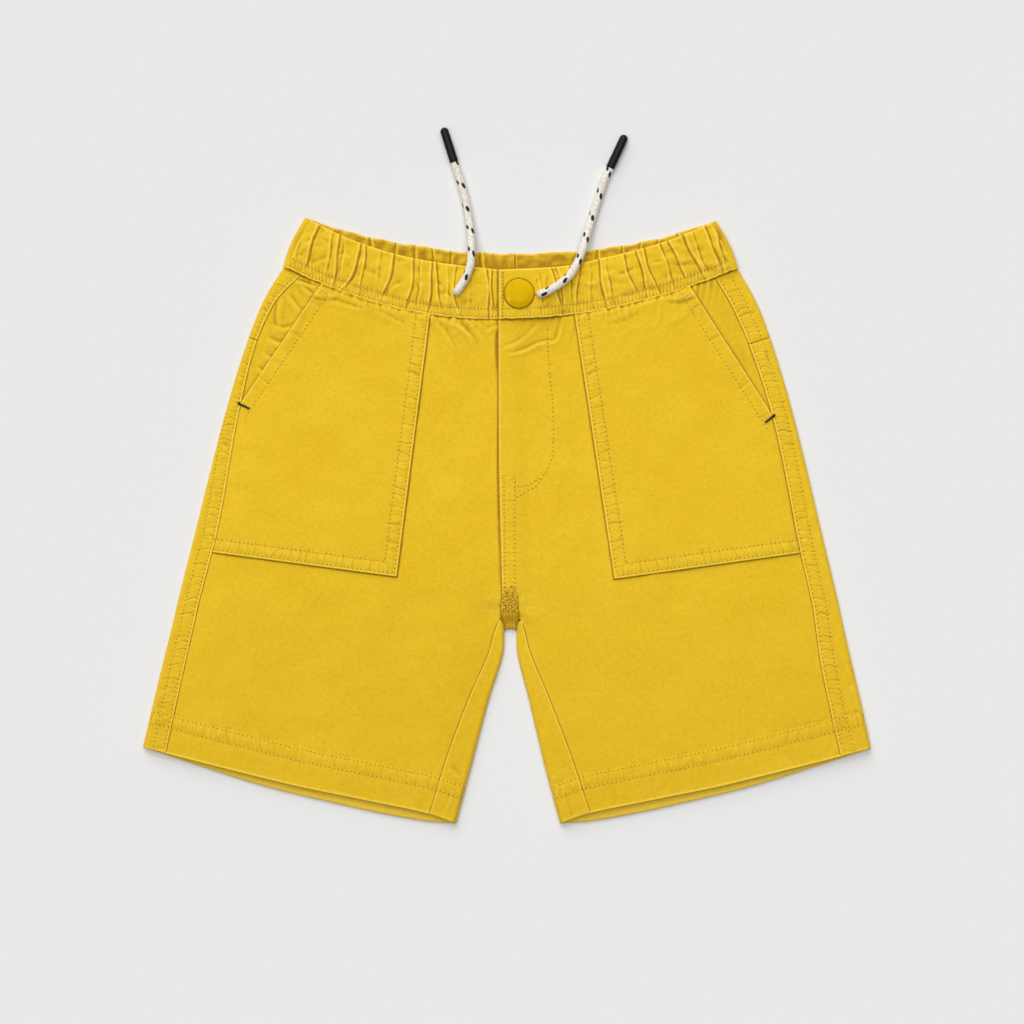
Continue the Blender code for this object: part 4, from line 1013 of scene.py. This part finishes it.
# Soft creases that cross the band between its pleats
bandFolds = {
    "Right": [
        (0.45, 1.7, 0.5, -121, 156, -114.4, 160.2, -106, 161.2),
        (0.4, 1.4, 0.4, -106, 160.5, -102.7, 164.2, -97.7, 163.4, -95.5, 159.6),
        (0.45, 1.9, 0.5, -126, 169.4, -118, 172.6, -112, 171.3, -108.6, 167),
        (0.5, 1.1, 0.6, -55.6, 129, -54.4, 137.8, -52.4, 143, -55.4, 151),
        (0.5, 1.1, 0.6, -42, 139, -35.7, 139.4, -34, 132),
        (0.45, 1.9, 0.5, -93, 156, -85, 151.8, -76, 147.4),
        (0.5, 1.6, 0.5, -73.4, 137, -71, 143.6, -62, 146.6),
        (0.4, 1.1, 0.4, -66, 160, -62, 157.4, -60, 162), (0.5, 1.1, 0.5, -46, 146, -41, 145.2, -38.6, 140),
        (0.4, 1.2, 0.4, -29, 141.4, -24, 137.6, -17, 137.8),
        (0.5, 1.6, 0.4, -122, 171, -127, 168.5, -131, 164),
    ],
    "Left": [
        (0.45, 1.2, 0.5, 19, 151.5, 16, 148.6, 18, 145.4),
        (0.5, 1, 0.5, 24, 152.6, 22.6, 148, 23.6, 143.8),
        (0.45, 1, 0.5, 27, 137.8, 24, 134.6, 23.2, 131.4), (0.5, 1.4, 0.5, 68, 150, 74, 151.6, 80, 154.8),
        (0.5, 1.3, 0.5, 88, 158, 94, 158.2, 99, 160.6), (0.5, 1.3, -0.5, 103, 160.6, 109, 160, 114, 163),
        (0.45, 1.3, 0.5, 46, 147.4, 52, 146, 58, 147.4), (0.5, 1.5, 0.5, 126, 172, 131, 168, 134, 164),
    ],
}


def bandUnder(depth):
    # the end of the right half, which lies flat under the left one's lap
    up = 2 * bandSize["foldRadius"]
    wide = np.abs(leftBand.across(depth)[0])
    share = 1.0 - np.linspace(bandSize["lap"], 1.0, bandGrid["under"])[None, :] / wide
    x, y = leftBand.place(depth + 0 * share, share)
    return x, y, up, x, y, up - bandSize["shown"], *noMarks


def bandFront(band, depth, seed):
    # the gathered face, from the middle to the side
    leg = band.leg
    shares = np.linspace(1.0, bandGrid["sideShare"], bandGrid["front"])[None, :]
    x, y = band.place(depth + 0 * shares, shares + 0 * depth)
    up = 2 * bandSize["foldRadius"] + band.lift(shares + 0 * depth, depth + 0 * shares)
    deep = walked(x, y)
    tall = deep[-1] - 0.5
    toSeam = tall - deep
    near, far = bandSize["nearRow"], bandSize["farRow"]
    relief, paintedLightAndWear = pleatRelief(leg, x, depth + 0 * shares)
    snapX, snapY = bandSize["snap"]
    flatten = smooth((np.abs(x - snapX) - 9.0) / 6.0) if leg.lapsOver else 1.0
    crossing, crease = folds(bandFolds[leg.name], x, y)
    byRows = 1 - 0.5 * smooth((8 - toSeam) / 3)
    relief, paintedLightAndWear = (relief * flatten + 0.7 * crossing) * byRows, paintedLightAndWear * flatten * byRows
    across, drawn = crease[:2]
    drawn = drawn * 0.15
    # Painted highlight on the crossing creases' crests and painted shade in their troughs
    paintedLightAndWear += drawn * (0.5 * bell(across, 0.6) - 1.2 * bell(across - 1.4, 0.6))
    relief += 0.4 * softNoise(x, 1.3 * y, 14.0, seed) * flatten + 0.04 * softNoise(x, y, 4.8, seed + 1)
    short = np.maximum(0.0, np.sin(x / 0.75 + 2.0 * np.sin(x / 5.0 + seed))) ** 2
    short = short * (0.5 + 0.5 * np.sin(x / 3.7 + seed))
    short = short * (bell(deep, 5.0) + 0.7 * bell(toSeam - 9, 4.0)) * flatten
    relief += 0.3 * short
    # Painted shade on the short gathers by the top edge and above the far row
    paintedLightAndWear -= 0.3 * short
    relief += 0.7 * np.sin(math.pi * np.clip((toSeam - far) / (tall - far), 0.0, 1.0)) * flatten
    relief += groove(toSeam - near) + groove(toSeam - far)
    ladder = ladderOn(toSeam, x, 2.15, 1.3 - 0.9 * bell(x - 6, 11), near - 0.3, far)
    form = relief.copy()
    if leg.lapsOver:
        # A painted shadow ring round the snap's cap; a painted highlight along the lap's edge with painted
        # shade beside it
        ring = bell(np.hypot(x - snapX, y - snapY) - 9.2, 0.45)
        relief -= 0.3 * ring
        paintedLightAndWear -= 0.9 * ring
        paintedLightAndWear += 0.8 * bell(x + 4.5, 0.4) - 0.25 * bell(x + 2.6, 0.8)
    # Painted highlight along the top edge; along the lower edge a broken painted highlight with a painted
    # shadow on its low rim
    paintedLightAndWear += 0.6 * bell(deep - 0.5, 0.4) + rimHighlightAndShadow(toSeam, 0.65 * broken(x, 1.7, 4.9, 0.75))
    relief -= 1.3 * np.exp(-deep / 0.5) + rimDrop(toSeam, 1.5)
    y = y + 0.4 * softNoise(x, 0 * x, 7.0, seed) * np.exp(-np.abs(toSeam) / 1.5)
    if leg.lapsOver:
        relief -= 0.5 * np.exp(-(x + 5.0) / 0.4)
    else:
        shade = bell(x + 5.5, 0.8)
        relief -= 0.6 * shade
        paintedLightAndWear -= 0.8 * shade
    relief = relief * smooth(shares / 0.06)
    return x, y, up + relief, x, y, up - bandSize["shown"], form, paintedLightAndWear, *ladder


def bandTurn(band, depth):
    # round the side fold
    radius, places = bandSize["foldRadius"], []
    turns = np.linspace(0.0, 2.0, bandGrid["turn"])[None, :]
    angle, wide = math.pi / 2 * (1 + turns), np.hypot(*band.across(depth))
    for size in (radius, radius - bandSize["shown"]):
        share = (radius + size * np.cos(angle)) / wide
        places += [*band.place(depth + 0 * turns, share), radius + size * np.sin(angle)]
    return *places, *noMarks


def bandBack(band, depth, seed):
    # the back's inner face, from the side fold to the middle, with its low gathers
    wide = np.abs(band.across(depth, "back")[0])
    share = np.linspace(0.0, 1.0, bandGrid["back"])[None, :]
    back = between(bandSize["foldRadius"] / wide + 0.01, 1 - 0.15 / wide, share)
    x, y = band.place(depth + 0 * back, back, "back")
    deep = walked(x, y)
    away = smooth(back * 12)
    shift = 0.35 * np.sin(x / 4.3 + 1.5 * np.sin(x / 13.0)) + 0.12 * np.sin(x / 1.4)
    y = y + shift * (1 - depth) ** 2 * away
    lean = x + 0.12 * deep * np.sin(x / 6.0)
    crest, hollow = [bell(np.sin(at / 6.4 + 2.6 * np.sin(at / 19.0 + seed)), reach) * away
                     for at, reach in ((lean, 0.11), (lean + 0.9, 0.09))]
    toMiddle = np.abs(x - 5.0)
    relief = 0.5 * crest - 0.8 * hollow + 0.35 * softNoise(x, y, 11.0, seed)
    # Painted highlights on the gathers' crests and the top edge, painted shade in their hollows, towards the
    # lower edge and along the centre seam beside a highlight; the whole face darker overall
    paintedLightAndWear = 0.35 * crest - 0.65 * hollow - 0.24 + 0.4 * bell(deep - 0.4, 0.4)
    paintedLightAndWear -= 0.3 * smooth((deep - 6) / 5) + 0.6 * bell(toMiddle, 0.5) - 0.4 * bell(toMiddle - 0.9, 0.3)
    top = 2.5 + relief - 0.7 * np.exp(-deep / 0.6)
    return x, y, 0.0, x, y, top, relief, paintedLightAndWear, x / 2.4, (deep - 1.6) / 0.8, 0.6


def waistband(band):
    leg, seed = band.leg, 8.0 + band.leg.order
    depth = spaced(bandSize["deep"], bandGrid["down"])[:, None] * bandSize["deep"] / 33.0
    under = [] if leg.lapsOver else [bandUnder(depth)]
    blocks = under + [bandFront(band, depth, seed), bandTurn(band, depth), bandBack(band, depth, seed)]
    return joinedWall("waistband" + leg.name, blocks, "waistband_" + leg.side, reach=4)


backDowns = {"back": np.concatenate([np.arange(48.15, 288.0, 1.8), np.linspace(288.0, cut["hemEdge"], 24)]),
             "yoke": np.linspace(0.15, 47.85, 44)}
for leg in (right, left):
    front = frontPanel(leg)
    pocketPatch(leg)
    back = backWrap(leg, "back" + leg.name, "back_" + leg.side, backDowns["back"])
    yoke = backWrap(leg, "yoke" + leg.name, "yoke_" + leg.side, backDowns["yoke"])
for band in (rightBand, leftBand):
    piece = waistband(band)
print("shorts: cloth made")


def topAt(x, y):
    # the cloth's upper face at a place in millimetres: its height and the way it faces
    best = None
    for tree in shownTops:
        hit, normal = tree.ray_cast(Vector((x * mm, y * mm, 0.05)), Vector((0.0, 0.0, -1.0)))[:2]
        if hit is not None and (best is None or hit.z > best[0].z):
            best = (hit, normal if normal.z > 0 else -normal)
    return best


# One stitch, modelled once: a short thread with round ends that dives at both
stitch = {"long": 1.7, "thick": 0.5, "pitch": 2.7, "sides": 6, "rings": 4}
# The dark disc in each needle hole, painted shade: its length, width and flatness
needle = {"long": 1.15, "wide": 1.1, "flat": 0.22}
bpy.ops.object.select_all(action="DESELECT")
bpy.ops.mesh.primitive_uv_sphere_add(segments=stitch["sides"], ring_count=stitch["rings"], radius=0.5)
seedStitch = bpy.context.object
bpy.ops.transform.rotate(value=math.pi / 2, orient_axis="Y", center_override=(0.0, 0.0, 0.0))
bpy.ops.object.transform_apply(location=False, rotation=True, scale=True)
stitchPoints = np.array([v.co for v in seedStitch.data.vertices])
stitchFaces = [list(p.vertices) for p in seedStitch.data.polygons]
bpy.data.objects.remove(seedStitch)
stitchPoints[:, 0] = np.sign(stitchPoints[:, 0]) * np.abs(2 * stitchPoints[:, 0]) ** 0.6 / 2


def sewn(name, places, material, thick=stitch["thick"], flatness=1.0):
    # copies the stitch to each place: middle, direction, face, length; all in one piece of thread
    points, faces = [], []
    for number, (middle, along, up, long) in enumerate(places):
        along = (along - up * along.dot(up)).normalized()
        turn = np.array([along, up.cross(along), up])
        flat = stitchPoints * [long, thick, thick * flatness]
        flat[:, 2] -= 0.25 * thick * (np.abs(stitchPoints[:, 0]) * 2) ** 4
        points.append(flat @ turn + np.array(middle) / mm)
        faces += [[k + len(stitchPoints) * number for k in face] for face in stitchFaces]
    return meshPiece(name, np.concatenate(points), faces, material, "twill")


def runRow(points, pitch, long, rise, first=0.0):
    # stitches along a line of (x, y) points, each laid on the cloth's upper face
    places, carried, number = [], first, 0
    for (ax, ay), (bx, by) in zip(points, points[1:]):
        length = math.hypot(bx - ax, by - ay)
        at = carried
        while at < length:
            x, y = between(ax, bx, at / length), between(ay, by, at / length)
            found = topAt(x, y)
            if found is not None and found[0].z > 0.0015:
                wander = 0.06 * math.sin(number * 2.3) + 0.05 * math.sin(number * 0.9)
                along = Vector(((bx - ax) / length, (by - ay) / length, 0.0))
                middle = found[0] + found[1] * (rise * mm)
                middle = middle + Vector((-along.y, along.x, 0.0)) * (wander * mm)
                places.append((middle, along, found[1], long * (0.94 + 0.08 * math.sin(number * 1.7))))
            at += pitch
            number += 1
        carried = at - length
    return places


def stitched(name, rows):
    # each row is a line, then a pitch and a length where they aren't the usual ones
    threads, holes = [], []
    for row in rows:
        points, pitch, long = (*row, stitch["pitch"], stitch["long"])[:3]
        threads += runRow(points, pitch, long, stitch["thick"] * 0.25)
        # between the stitches, flat dark discs as painted shade in the needle holes
        holes += runRow(points, pitch, min(needle["long"], pitch * 0.46), 0.01, pitch / 2)
    sewn(name, threads, thread)
    sewn(name + "Holes", holes, holeShade, needle["wide"], needle["flat"])


def legLine(leg, downs, off):
    # a row at a distance from the side seam, on the strip
    x, y = leg.place(downs, np.maximum(leg.table.read("seam", downs) - off, 0.9))
    return list(zip(x, y))


def hemLine(leg, up):
    # a row across the leg at a distance above the hem's edge
    points, column = [], np.linspace(cut["hemEdge"], 250.0, 65)
    for share in np.linspace(0.004, 0.996, 60):
        x, y = leg.place(column, leg.width(column) * share)
        far = np.concatenate([[0.0], np.cumsum(np.hypot(np.diff(x), np.diff(y)))])
        points.append((np.interp(up, far, x), np.interp(up, far, y)))
    return points


def unit(way):
    return way / np.linalg.norm(way)


def seamRows(leg):
    # both rows beside the side seam, and both round the hem
    rows = []
    for off in (doubleRow["near"], doubleRow["far"]):
        first = 2.0 if leg.lapsOver or off < 3 else 96.0
        rows.append((legLine(leg, np.arange(first, cut["hemEdge"], 4.0), off),))
    return rows + [(hemLine(leg, off),) for off in hemRows.values()]


def pocketRows(leg):
    # two rows down the inner side and along the foot, which turn at the corner, and one beside the mouth
    edges = pocketEdges(leg)
    (topInner, corner), (corner, lowOuter), (mouthTop, mouthEnd) = [np.array(edge) for edge in edges.values()]
    inwards = unit(lowOuter - corner) - unit(corner - topInner)
    rows = []
    for off in (doubleRow["near"], doubleRow["far"]):
        turned = tuple(corner + inwards * off * 1.02)
        inner, low = [inset(edges[key], -leg.turn * off) for key in ("inner", "lower")]
        rows += [([inner[0], turned],), ([turned, low[1]],)]
    way = unit(mouthEnd - mouthTop)
    acrossWay = np.array([-way[1], way[0]]) * leg.turn
    start, end = [edge + acrossWay * doubleRow["mouth"] + way * on
                  for edge, on in ((mouthTop, 3), (mouthEnd, 7))]
    rows.append(([tuple(start), tuple(end)],))
    for on in (0, 2):
        rows.append(([tuple(start - acrossWay * 5 + way * on), tuple(start + way * on)], 1.4, 1.3))
    return rows


def waistRows(band):
    # two rows above the waist seam, and one down the lap's edge
    shares = np.linspace(0.02, 0.999, 70)
    topX, topY = band.place(0.0 * shares, shares)
    lowX, lowY = band.place(1.0 + 0.0 * shares, shares)
    tall, rows = np.hypot(topX - lowX, topY - lowY), []
    for off in (bandSize["nearRow"], bandSize["farRow"]):
        line = list(zip(between(lowX, topX, off / tall), between(lowY, topY, off / tall)))
        rows.append((line, 2.2, 1.5))
    if band.leg.lapsOver:
        rows.append(([(-2.6, 153.5), (-2.6, 125.5)], 2.2, 1.4))
    return rows


for leg in (right, left):
    stitched("seamStitches" + leg.name, seamRows(leg))
    stitched("pocketStitches" + leg.name, pocketRows(leg))
rows = [(flyRows[name],) for name in ("outer", "inner", "edge", "second")]
stitched("flyStitches", rows + [(flyRows["bar"], 1.0, 1.6)])
for band in (rightBand, leftBand):
    stitched("waistStitches" + band.leg.name, waistRows(band))
    backShares = np.linspace(0.1, 0.985, 70)
    backLine = list(zip(*band.place(0.045 + 0.0 * backShares, backShares, "back")))
    sewn("backStitches" + band.leg.name, runRow(backLine, 2.6, 1.7, 0.12), thread)
print("shorts: seams sewn")

# Bar tacks at the foot of each pocket's mouth: black thread, packed side by side
barTacks = {"Right": ((-165.8, 72.5), (-159.4, 69.2)), "Left": ((159.8, 60.7), (165.2, 65.0))}
for name, (a, b) in barTacks.items():
    along = Vector((b[0] - a[0], b[1] - a[1], 0.0)).normalized()
    across = Vector((-along.y, along.x, 0.0))
    places = []
    for k in range(17):
        x, y = between(a[0], b[0], k / 16), between(a[1], b[1], k / 16)
        found = topAt(x, y)
        lean = across + along * (0.35 if k % 2 else -0.35)
        places.append((found[0] + found[1] * 0.0004, lean, found[1], 2.1))
    sewn("barTack" + name, places, blackThread, 0.6)
    sewn("barTackKnot" + name, [(*places[-1 if name == "Left" else 0][:3], 2.3)], blackThread, 1.9, 0.6)

# Drawcord: the middle of each free end, from just under the band's face to its tip
cordSize = {"diameter": 5.0, "sides": 32, "step": 0.4, "sunk": 3.0}
routes = {
    "Right": [
        (-30.6, 141.8, 9.3), (-28.6, 144.6, 9.9), (-25.4, 150, 10), (-22.6, 157.6, 10), (-22, 165.6, 9),
        (-22.2, 174.8, 6.2), (-23.4, 185, 3.6), (-25.8, 198.5, 2.6), (-28.9, 210.2, 2.6), (-32.6, 221.8, 2.6),
    ],
    "Left": [
        (21.2, 139.9, 11.8), (25.2, 141.5, 12.5), (32.4, 145.8, 12.2), (38.7, 151.2, 11.4),
        (43.2, 158.6, 10.5), (46.2, 165.8, 9), (48.8, 174.9, 6.1), (51.9, 185, 3.6), (56, 197.6, 2.6),
        (60.2, 210.4, 2.6), (63.8, 218.2, 2.6),
    ],
}
eyelets = {"Right": (-32.6, 139.4), "Left": (18.2, 139.4)}
# Flecks: how far they repeat, where the first lies, and each one's place along and round, length and width
flecks = {"every": 14.7, "first": {"Right": -1.4, "Left": 5.2}, "lean": 0.6, "clear": 3.4,
          "spots": ((0.0, 1.1, 2.3, 1.5), (3.0, 2.5, 1.9, 1.3), (7.5, 4.2, 2.0, 1.4))}
cordTip = {"diameter": 5.4, "length": 22.5, "height": 2.8, "sides": 28, "taper": 0.97}


def cordLine(knots, step):
    # a smooth curve through the knots, in even steps
    fine = []
    for i, (a, b) in enumerate(zip(knots, knots[1:])):
        before = knots[i - 1] if i else 2 * a - b
        after = knots[i + 2] if i + 2 < len(knots) else 2 * b - a
        t = np.arange(40)[:, None] / 40
        fine.append(a * (2 * t**3 - 3 * t**2 + 1) + (b - before) / 2 * (t**3 - 2 * t**2 + t)
                    + b * (3 * t**2 - 2 * t**3) + (after - a) / 2 * (t**3 - t**2))
    fine = np.concatenate([*fine, knots[-1:]])
    far = np.concatenate([[0.0], np.cumsum(np.linalg.norm(np.diff(fine, axis=0), axis=1))])
    at = np.linspace(0.0, far[-1], int(far[-1] / step) + 1)
    return np.stack([np.interp(at, far, fine[:, k]) for k in range(3)], 1), far[-1]


def mended(piece, first=None):
    # turns the faces of a closed mesh outwards, after a first step if it has one
    bpy.ops.object.select_all(action="DESELECT")
    piece.select_set(True)
    bpy.context.view_layer.objects.active = piece
    bpy.ops.object.mode_set(mode="EDIT")
    bpy.ops.mesh.select_all(action="SELECT")
    if first:
        first()
    bpy.ops.mesh.normals_make_consistent(inside=False)
    bpy.ops.object.mode_set(mode="OBJECT")


def tube(name, line, radii, *looks):
    # rings of places round a line; the seam is closed and both ends are capped
    along = np.gradient(line, axis=0)
    along /= np.linalg.norm(along, axis=1)[:, None]
    sideways = np.cross(along, [0.0, 0.0, 1.0])
    sideways /= np.linalg.norm(sideways, axis=1)[:, None]
    up = np.cross(sideways, along)
    rows, sides = radii.shape
    turn = np.arange(sides) / sides * 2 * math.pi
    ring = np.cos(turn)[None, :, None] * sideways[:, None] + np.sin(turn)[None, :, None] * up[:, None]
    points = line[:, None] + ring * radii[..., None]
    index = np.arange(rows * sides).reshape(rows, sides)
    after = np.roll(index, -1, axis=1)
    faces = np.stack([index[:-1], after[:-1], after[1:], index[1:]], -1).reshape(-1, 4).tolist()
    faces += [index[0][::-1].tolist(), index[-1].tolist()]
    piece = meshPiece(name, points.reshape(-1, 3), faces, *looks)
    mended(piece)
    return piece


def fleckMarks(far, turn, first, length, radius):
    marks = 0 * (far + turn)
    for k in range(int(length / flecks["every"]) + 2):
        for shift, angle, long, wide in flecks["spots"]:
            around = (turn - angle - 0.35 * math.sin(k * 1.9) + math.pi) % (2 * math.pi) - math.pi
            ahead = far - (k * flecks["every"] + shift + first) - flecks["lean"] * around * radius
            spot = 1.3 - np.sqrt((ahead / long) ** 2 + (around * radius / wide) ** 2)
            marks = np.maximum(marks, np.clip(spot, 0.0, 1.0))
    return marks * smooth((far - flecks["clear"]) / 0.6)


for name, knots in routes.items():
    knots = np.array(knots)
    way = unit(knots[1] - knots[0])
    dive = knots[0] - way * 0.8 - np.array([0.0, 0.0, cordSize["sunk"]])
    line, length = cordLine(np.concatenate([[dive], knots]), cordSize["step"])
    far = np.linspace(0.0, length, len(line))[:, None]
    turn = np.arange(cordSize["sides"])[None, :] / cordSize["sides"] * 2 * math.pi
    radius = cordSize["diameter"] / 2
    plait = np.sin(8 * turn + far * 2.9) * np.sin(8 * turn - far * 2.9)
    radii = radius * (1.0 + 0.03 * plait) * (0.85 + 0.15 * smooth(far / 1.5))
    cordPiece = tube("drawcord" + name, line, radii, braid, "cord", "drawcord_" + name.lower())
    mark(cordPiece.data, "fleck", fleckMarks(far, turn, flecks["first"][name], length, radius).ravel())
    # A flat dark disc where the cord goes in, painted shade in the eyelet
    found = topAt(*eyelets[name])
    sewn("eyelet" + name, [(found[0], Vector(way), found[1], 2.6)], holeShade, 2.2, 0.3)
    way = unit((knots[-1] - knots[-2]) * [1, 1, 0])
    long, radius = cordTip["length"], cordTip["diameter"] / 2
    start = np.array([*knots[-1][:2], cordTip["height"]]) + way * 0.1
    dome, slim = np.radians([15, 30, 45, 60, 72, 82]), radius * cordTip["taper"]
    ahead = long - radius * (1 - np.sin(dome))
    at = np.concatenate([[0.0, 0.25], np.linspace(0.8, long - radius, 14), ahead])
    wide = np.concatenate([[radius - 0.3, radius - 0.05], np.linspace(radius, slim, 14), slim * np.cos(dome)])
    wide = np.repeat((wide * (1 + 0.012 * np.sin(at * 1.3)))[:, None], cordTip["sides"], 1)
    tip = tube("cordTip" + name, start + way * at[:, None], wide, tipPlastic, "cord_tip",
               "cord_tip_" + name.lower())
print("shorts: drawcord laid")

# Snap cap: a smooth low dome with a rolled rim, spun from its section
cap = {"seat": 9.8, "steps": 96, "section": [
    (0.0, 0.02), (7.4, 0.02), (8.5, 0.1), (8.9, 0.35), (9.0, 0.7), (8.85, 1.0), (8.55, 1.18), (8.2, 1.24),
    (7.9, 1.3), (7.2, 1.5), (6.0, 1.75), (4.5, 1.98), (3.0, 2.13), (1.5, 2.21), (0.0, 2.23)]}
capX, capY = bandSize["snap"]


def spun():
    middle = (capX * mm, capY * mm, 0.0)
    bpy.ops.mesh.spin(steps=cap["steps"], angle=2 * math.pi, axis=(0.0, 0.0, 1.0), center=middle)
    bpy.ops.mesh.select_all(action="SELECT")
    bpy.ops.mesh.remove_doubles(threshold=0.000005)


rim = np.array([(capX + out, capY, cap["seat"] + up) for out, up in cap["section"]])
edges = [(k, k + 1) for k in range(len(rim) - 1)]
capPiece = meshPiece("snapCap", rim, [], capPaint, "snap", "snap_cap", edges=edges)
mended(capPiece, spun)
bpy.ops.object.shade_smooth()

# The felled end of the seat seam, between the legs
fell = {"left": -1.5, "right": 5.9, "topLeft": -4.1, "topRight": 7.5, "rise": 3.2, "top": -56.0,
        "edge": -68.2, "wide": -62.4, "point": -57.6, "radius": 1.55, "hollow": 1.2, "seatX": 2.6,
        "pointShare": 0.2, "flareEnd": -65.5}
radius, thin = fell["radius"], fell["radius"] - cut["twill"]
foldY = fell["edge"] + radius
# Its section's rows: outer y and z, inner y and z, how wide, how bowed, how flared
rows = [(y, 2 * radius, y, 2 * radius - cut["twill"], 1.0, k / 14, smooth((y - fell["flareEnd"]) / 4.5))
        for k, y in enumerate(np.linspace(fell["top"], foldY, 16)[:-1])]
rows += [(foldY + radius * math.cos(a), radius * (1 + math.sin(a)), foldY + thin * math.cos(a),
          radius + thin * math.sin(a), 1.0, 1.0, 0.0) for a in math.pi / 2 * (1 + np.linspace(0.0, 2.0, 13))]
rows += [(y, 0.0, y, cut["twill"], 1.0, 1 - k / 4, 0.0)
         for k, y in enumerate(np.linspace(foldY, fell["wide"], 6)[1:])]
rows += [(y, 0.0, y, cut["twill"], between(1.0, fell["pointShare"], (k + 1) / 6), 0.0, 0.0)
         for k, y in enumerate(np.linspace(fell["wide"], fell["point"], 7)[1:])]
outerY, outerZ, innerY, innerZ, narrow, bowed, flare = np.array(rows).T[:, None]
shares = np.linspace(0.0, 1.0, 60)[:, None]
leftEdge, rightEdge = [between(fell[low], fell[top], flare)
                       for low, top in (("left", "topLeft"), ("right", "topRight"))]
x = between(fell["seatX"], between(leftEdge, rightEdge, shares), narrow)
shift = fell["hollow"] * (1 - (2 * shares - 1) ** 2) * bowed
gather = np.abs(np.sin(19.0 * shares + 0.5 * np.sin(outerY / 2.6))) ** 0.8
gather = gather * smooth(shares * 6) * smooth((1 - shares) * 6)
risen = fell["rise"] * smooth((outerY - fell["flareEnd"]) / 8.0) * (flare > 0)
outer = np.stack([x, outerY + shift, outerZ + risen + 0.22 * gather], -1)
inner = np.stack([x, innerY + shift, innerZ + risen + 0 * x], -1)
# Painted shade along the fell's sides and across its top, painted highlights on its gathers, and the whole
# fell darker
dark = 0.8 * (bell(shares, 0.07) + bell(1 - shares, 0.07))
dark = dark + 0.9 * bell(outerY - fell["top"], 0.7) * (flare > 0)
shadeAndWearMarks = {"form": 0 * gather + 0 * x, "paintedLightAndWear": 0.22 * gather - 0.42 - dark}
crotchPiece = clothWall("crotchFell", outer, inner, "crotch_fell", shadeAndWearMarks)
# Knots where the fly's rows end: rows and columns of short threads that lie every way
knotGrid = {"rows": 9, "columns": 6, "start": (-3.2, -40.6), "step": (1.75, 1.85), "sway": 0.6}
knotPlaces, knotHoles = [], []
for row in range(knotGrid["rows"]):
    for column in range(knotGrid["columns"]):
        x = knotGrid["start"][0] + knotGrid["step"][0] * column + knotGrid["sway"] * math.sin(row * 2.7)
        y = knotGrid["start"][1] - knotGrid["step"][1] * row + knotGrid["sway"] * math.sin(column * 3.1 + row)
        if row < 3 and math.sin(row * 7.3 + column * 4.1) > 0.2 * row:
            continue
        found = topAt(x, y)
        angle = 1.9 * math.sin(row * 1.7 + column * 2.9)
        along = Vector((math.cos(angle), math.sin(angle), 0.0))
        knotPlaces.append((found[0] + found[1] * 0.0001, along, found[1], 2.3 + 0.5 * math.sin(row + column)))
        # Beside each knot thread a flat dark disc, painted shade
        beside = found[0] + along.cross(found[1]) * 0.0008 + Vector((0.0, 0.0, 0.00002))
        knotHoles.append((beside, along, found[1], 2.0))
sewn("crotchKnots", knotPlaces, knotThread, 1.1)
sewn("crotchKnotHoles", knotHoles, holeShade, 0.8, 0.3)
print("shorts: snap and crotch made")

# Surface and light
bpy.ops.object.select_all(action="DESELECT")
bpy.ops.mesh.primitive_plane_add(size=6.0, location=(0.0, 0.0, -0.0002))
ground = bpy.context.object
ground.name = "paleSurface"
groundFinish = Finish("palePaper", Roughness=0.95, Specular_IOR_Level=0.1)
groundFinish.put(Base_Color=(0.80, 0.80, 0.80, 1.0))
ground.data.materials.append(groundFinish.material)


def softLight(name, tilt, turn, spread, strength):
    # a wide even light from far off: its tilt from overhead, and where it comes from, seen from above
    bpy.ops.object.select_all(action="DESELECT")
    bpy.ops.object.light_add(type="SUN", location=(0.0, 0.0, 1.5))
    lamp = bpy.context.object
    lamp.name = name
    lamp.data.energy, lamp.data.angle = strength, math.radians(spread)
    tilt, turn = math.radians(tilt), math.radians(turn)
    toLight = Vector((math.sin(tilt) * math.cos(turn), math.sin(tilt) * math.sin(turn), math.cos(tilt)))
    lamp.rotation_euler = toLight.to_track_quat("Z", "Y").to_euler()


softLight("waistSide", 57.0, 108.0, 46.0, 1.35)
softLight("overhead", 16.0, 100.0, 60.0, 1.66)
softLight("capSide", 28.0, 203.0, 6.0, 0.2)
world = bpy.data.worlds.new("studio")
bpy.context.scene.world = world
world.use_nodes = True
world.node_tree.nodes["Background"].inputs[0].default_value = (1.0, 1.0, 1.0, 1.0)
world.node_tree.nodes["Background"].inputs[1].default_value = 0.22
bpy.context.scene.view_settings.view_transform = "Standard"
bpy.context.scene.view_settings.look = "None"

bpy.context.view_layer.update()
made = [item for item in bpy.context.scene.objects if item.type == "MESH" and item.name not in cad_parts]
print("shorts: triangles made", sum(len(item.data.loops) - 2 * len(item.data.polygons) for item in made))
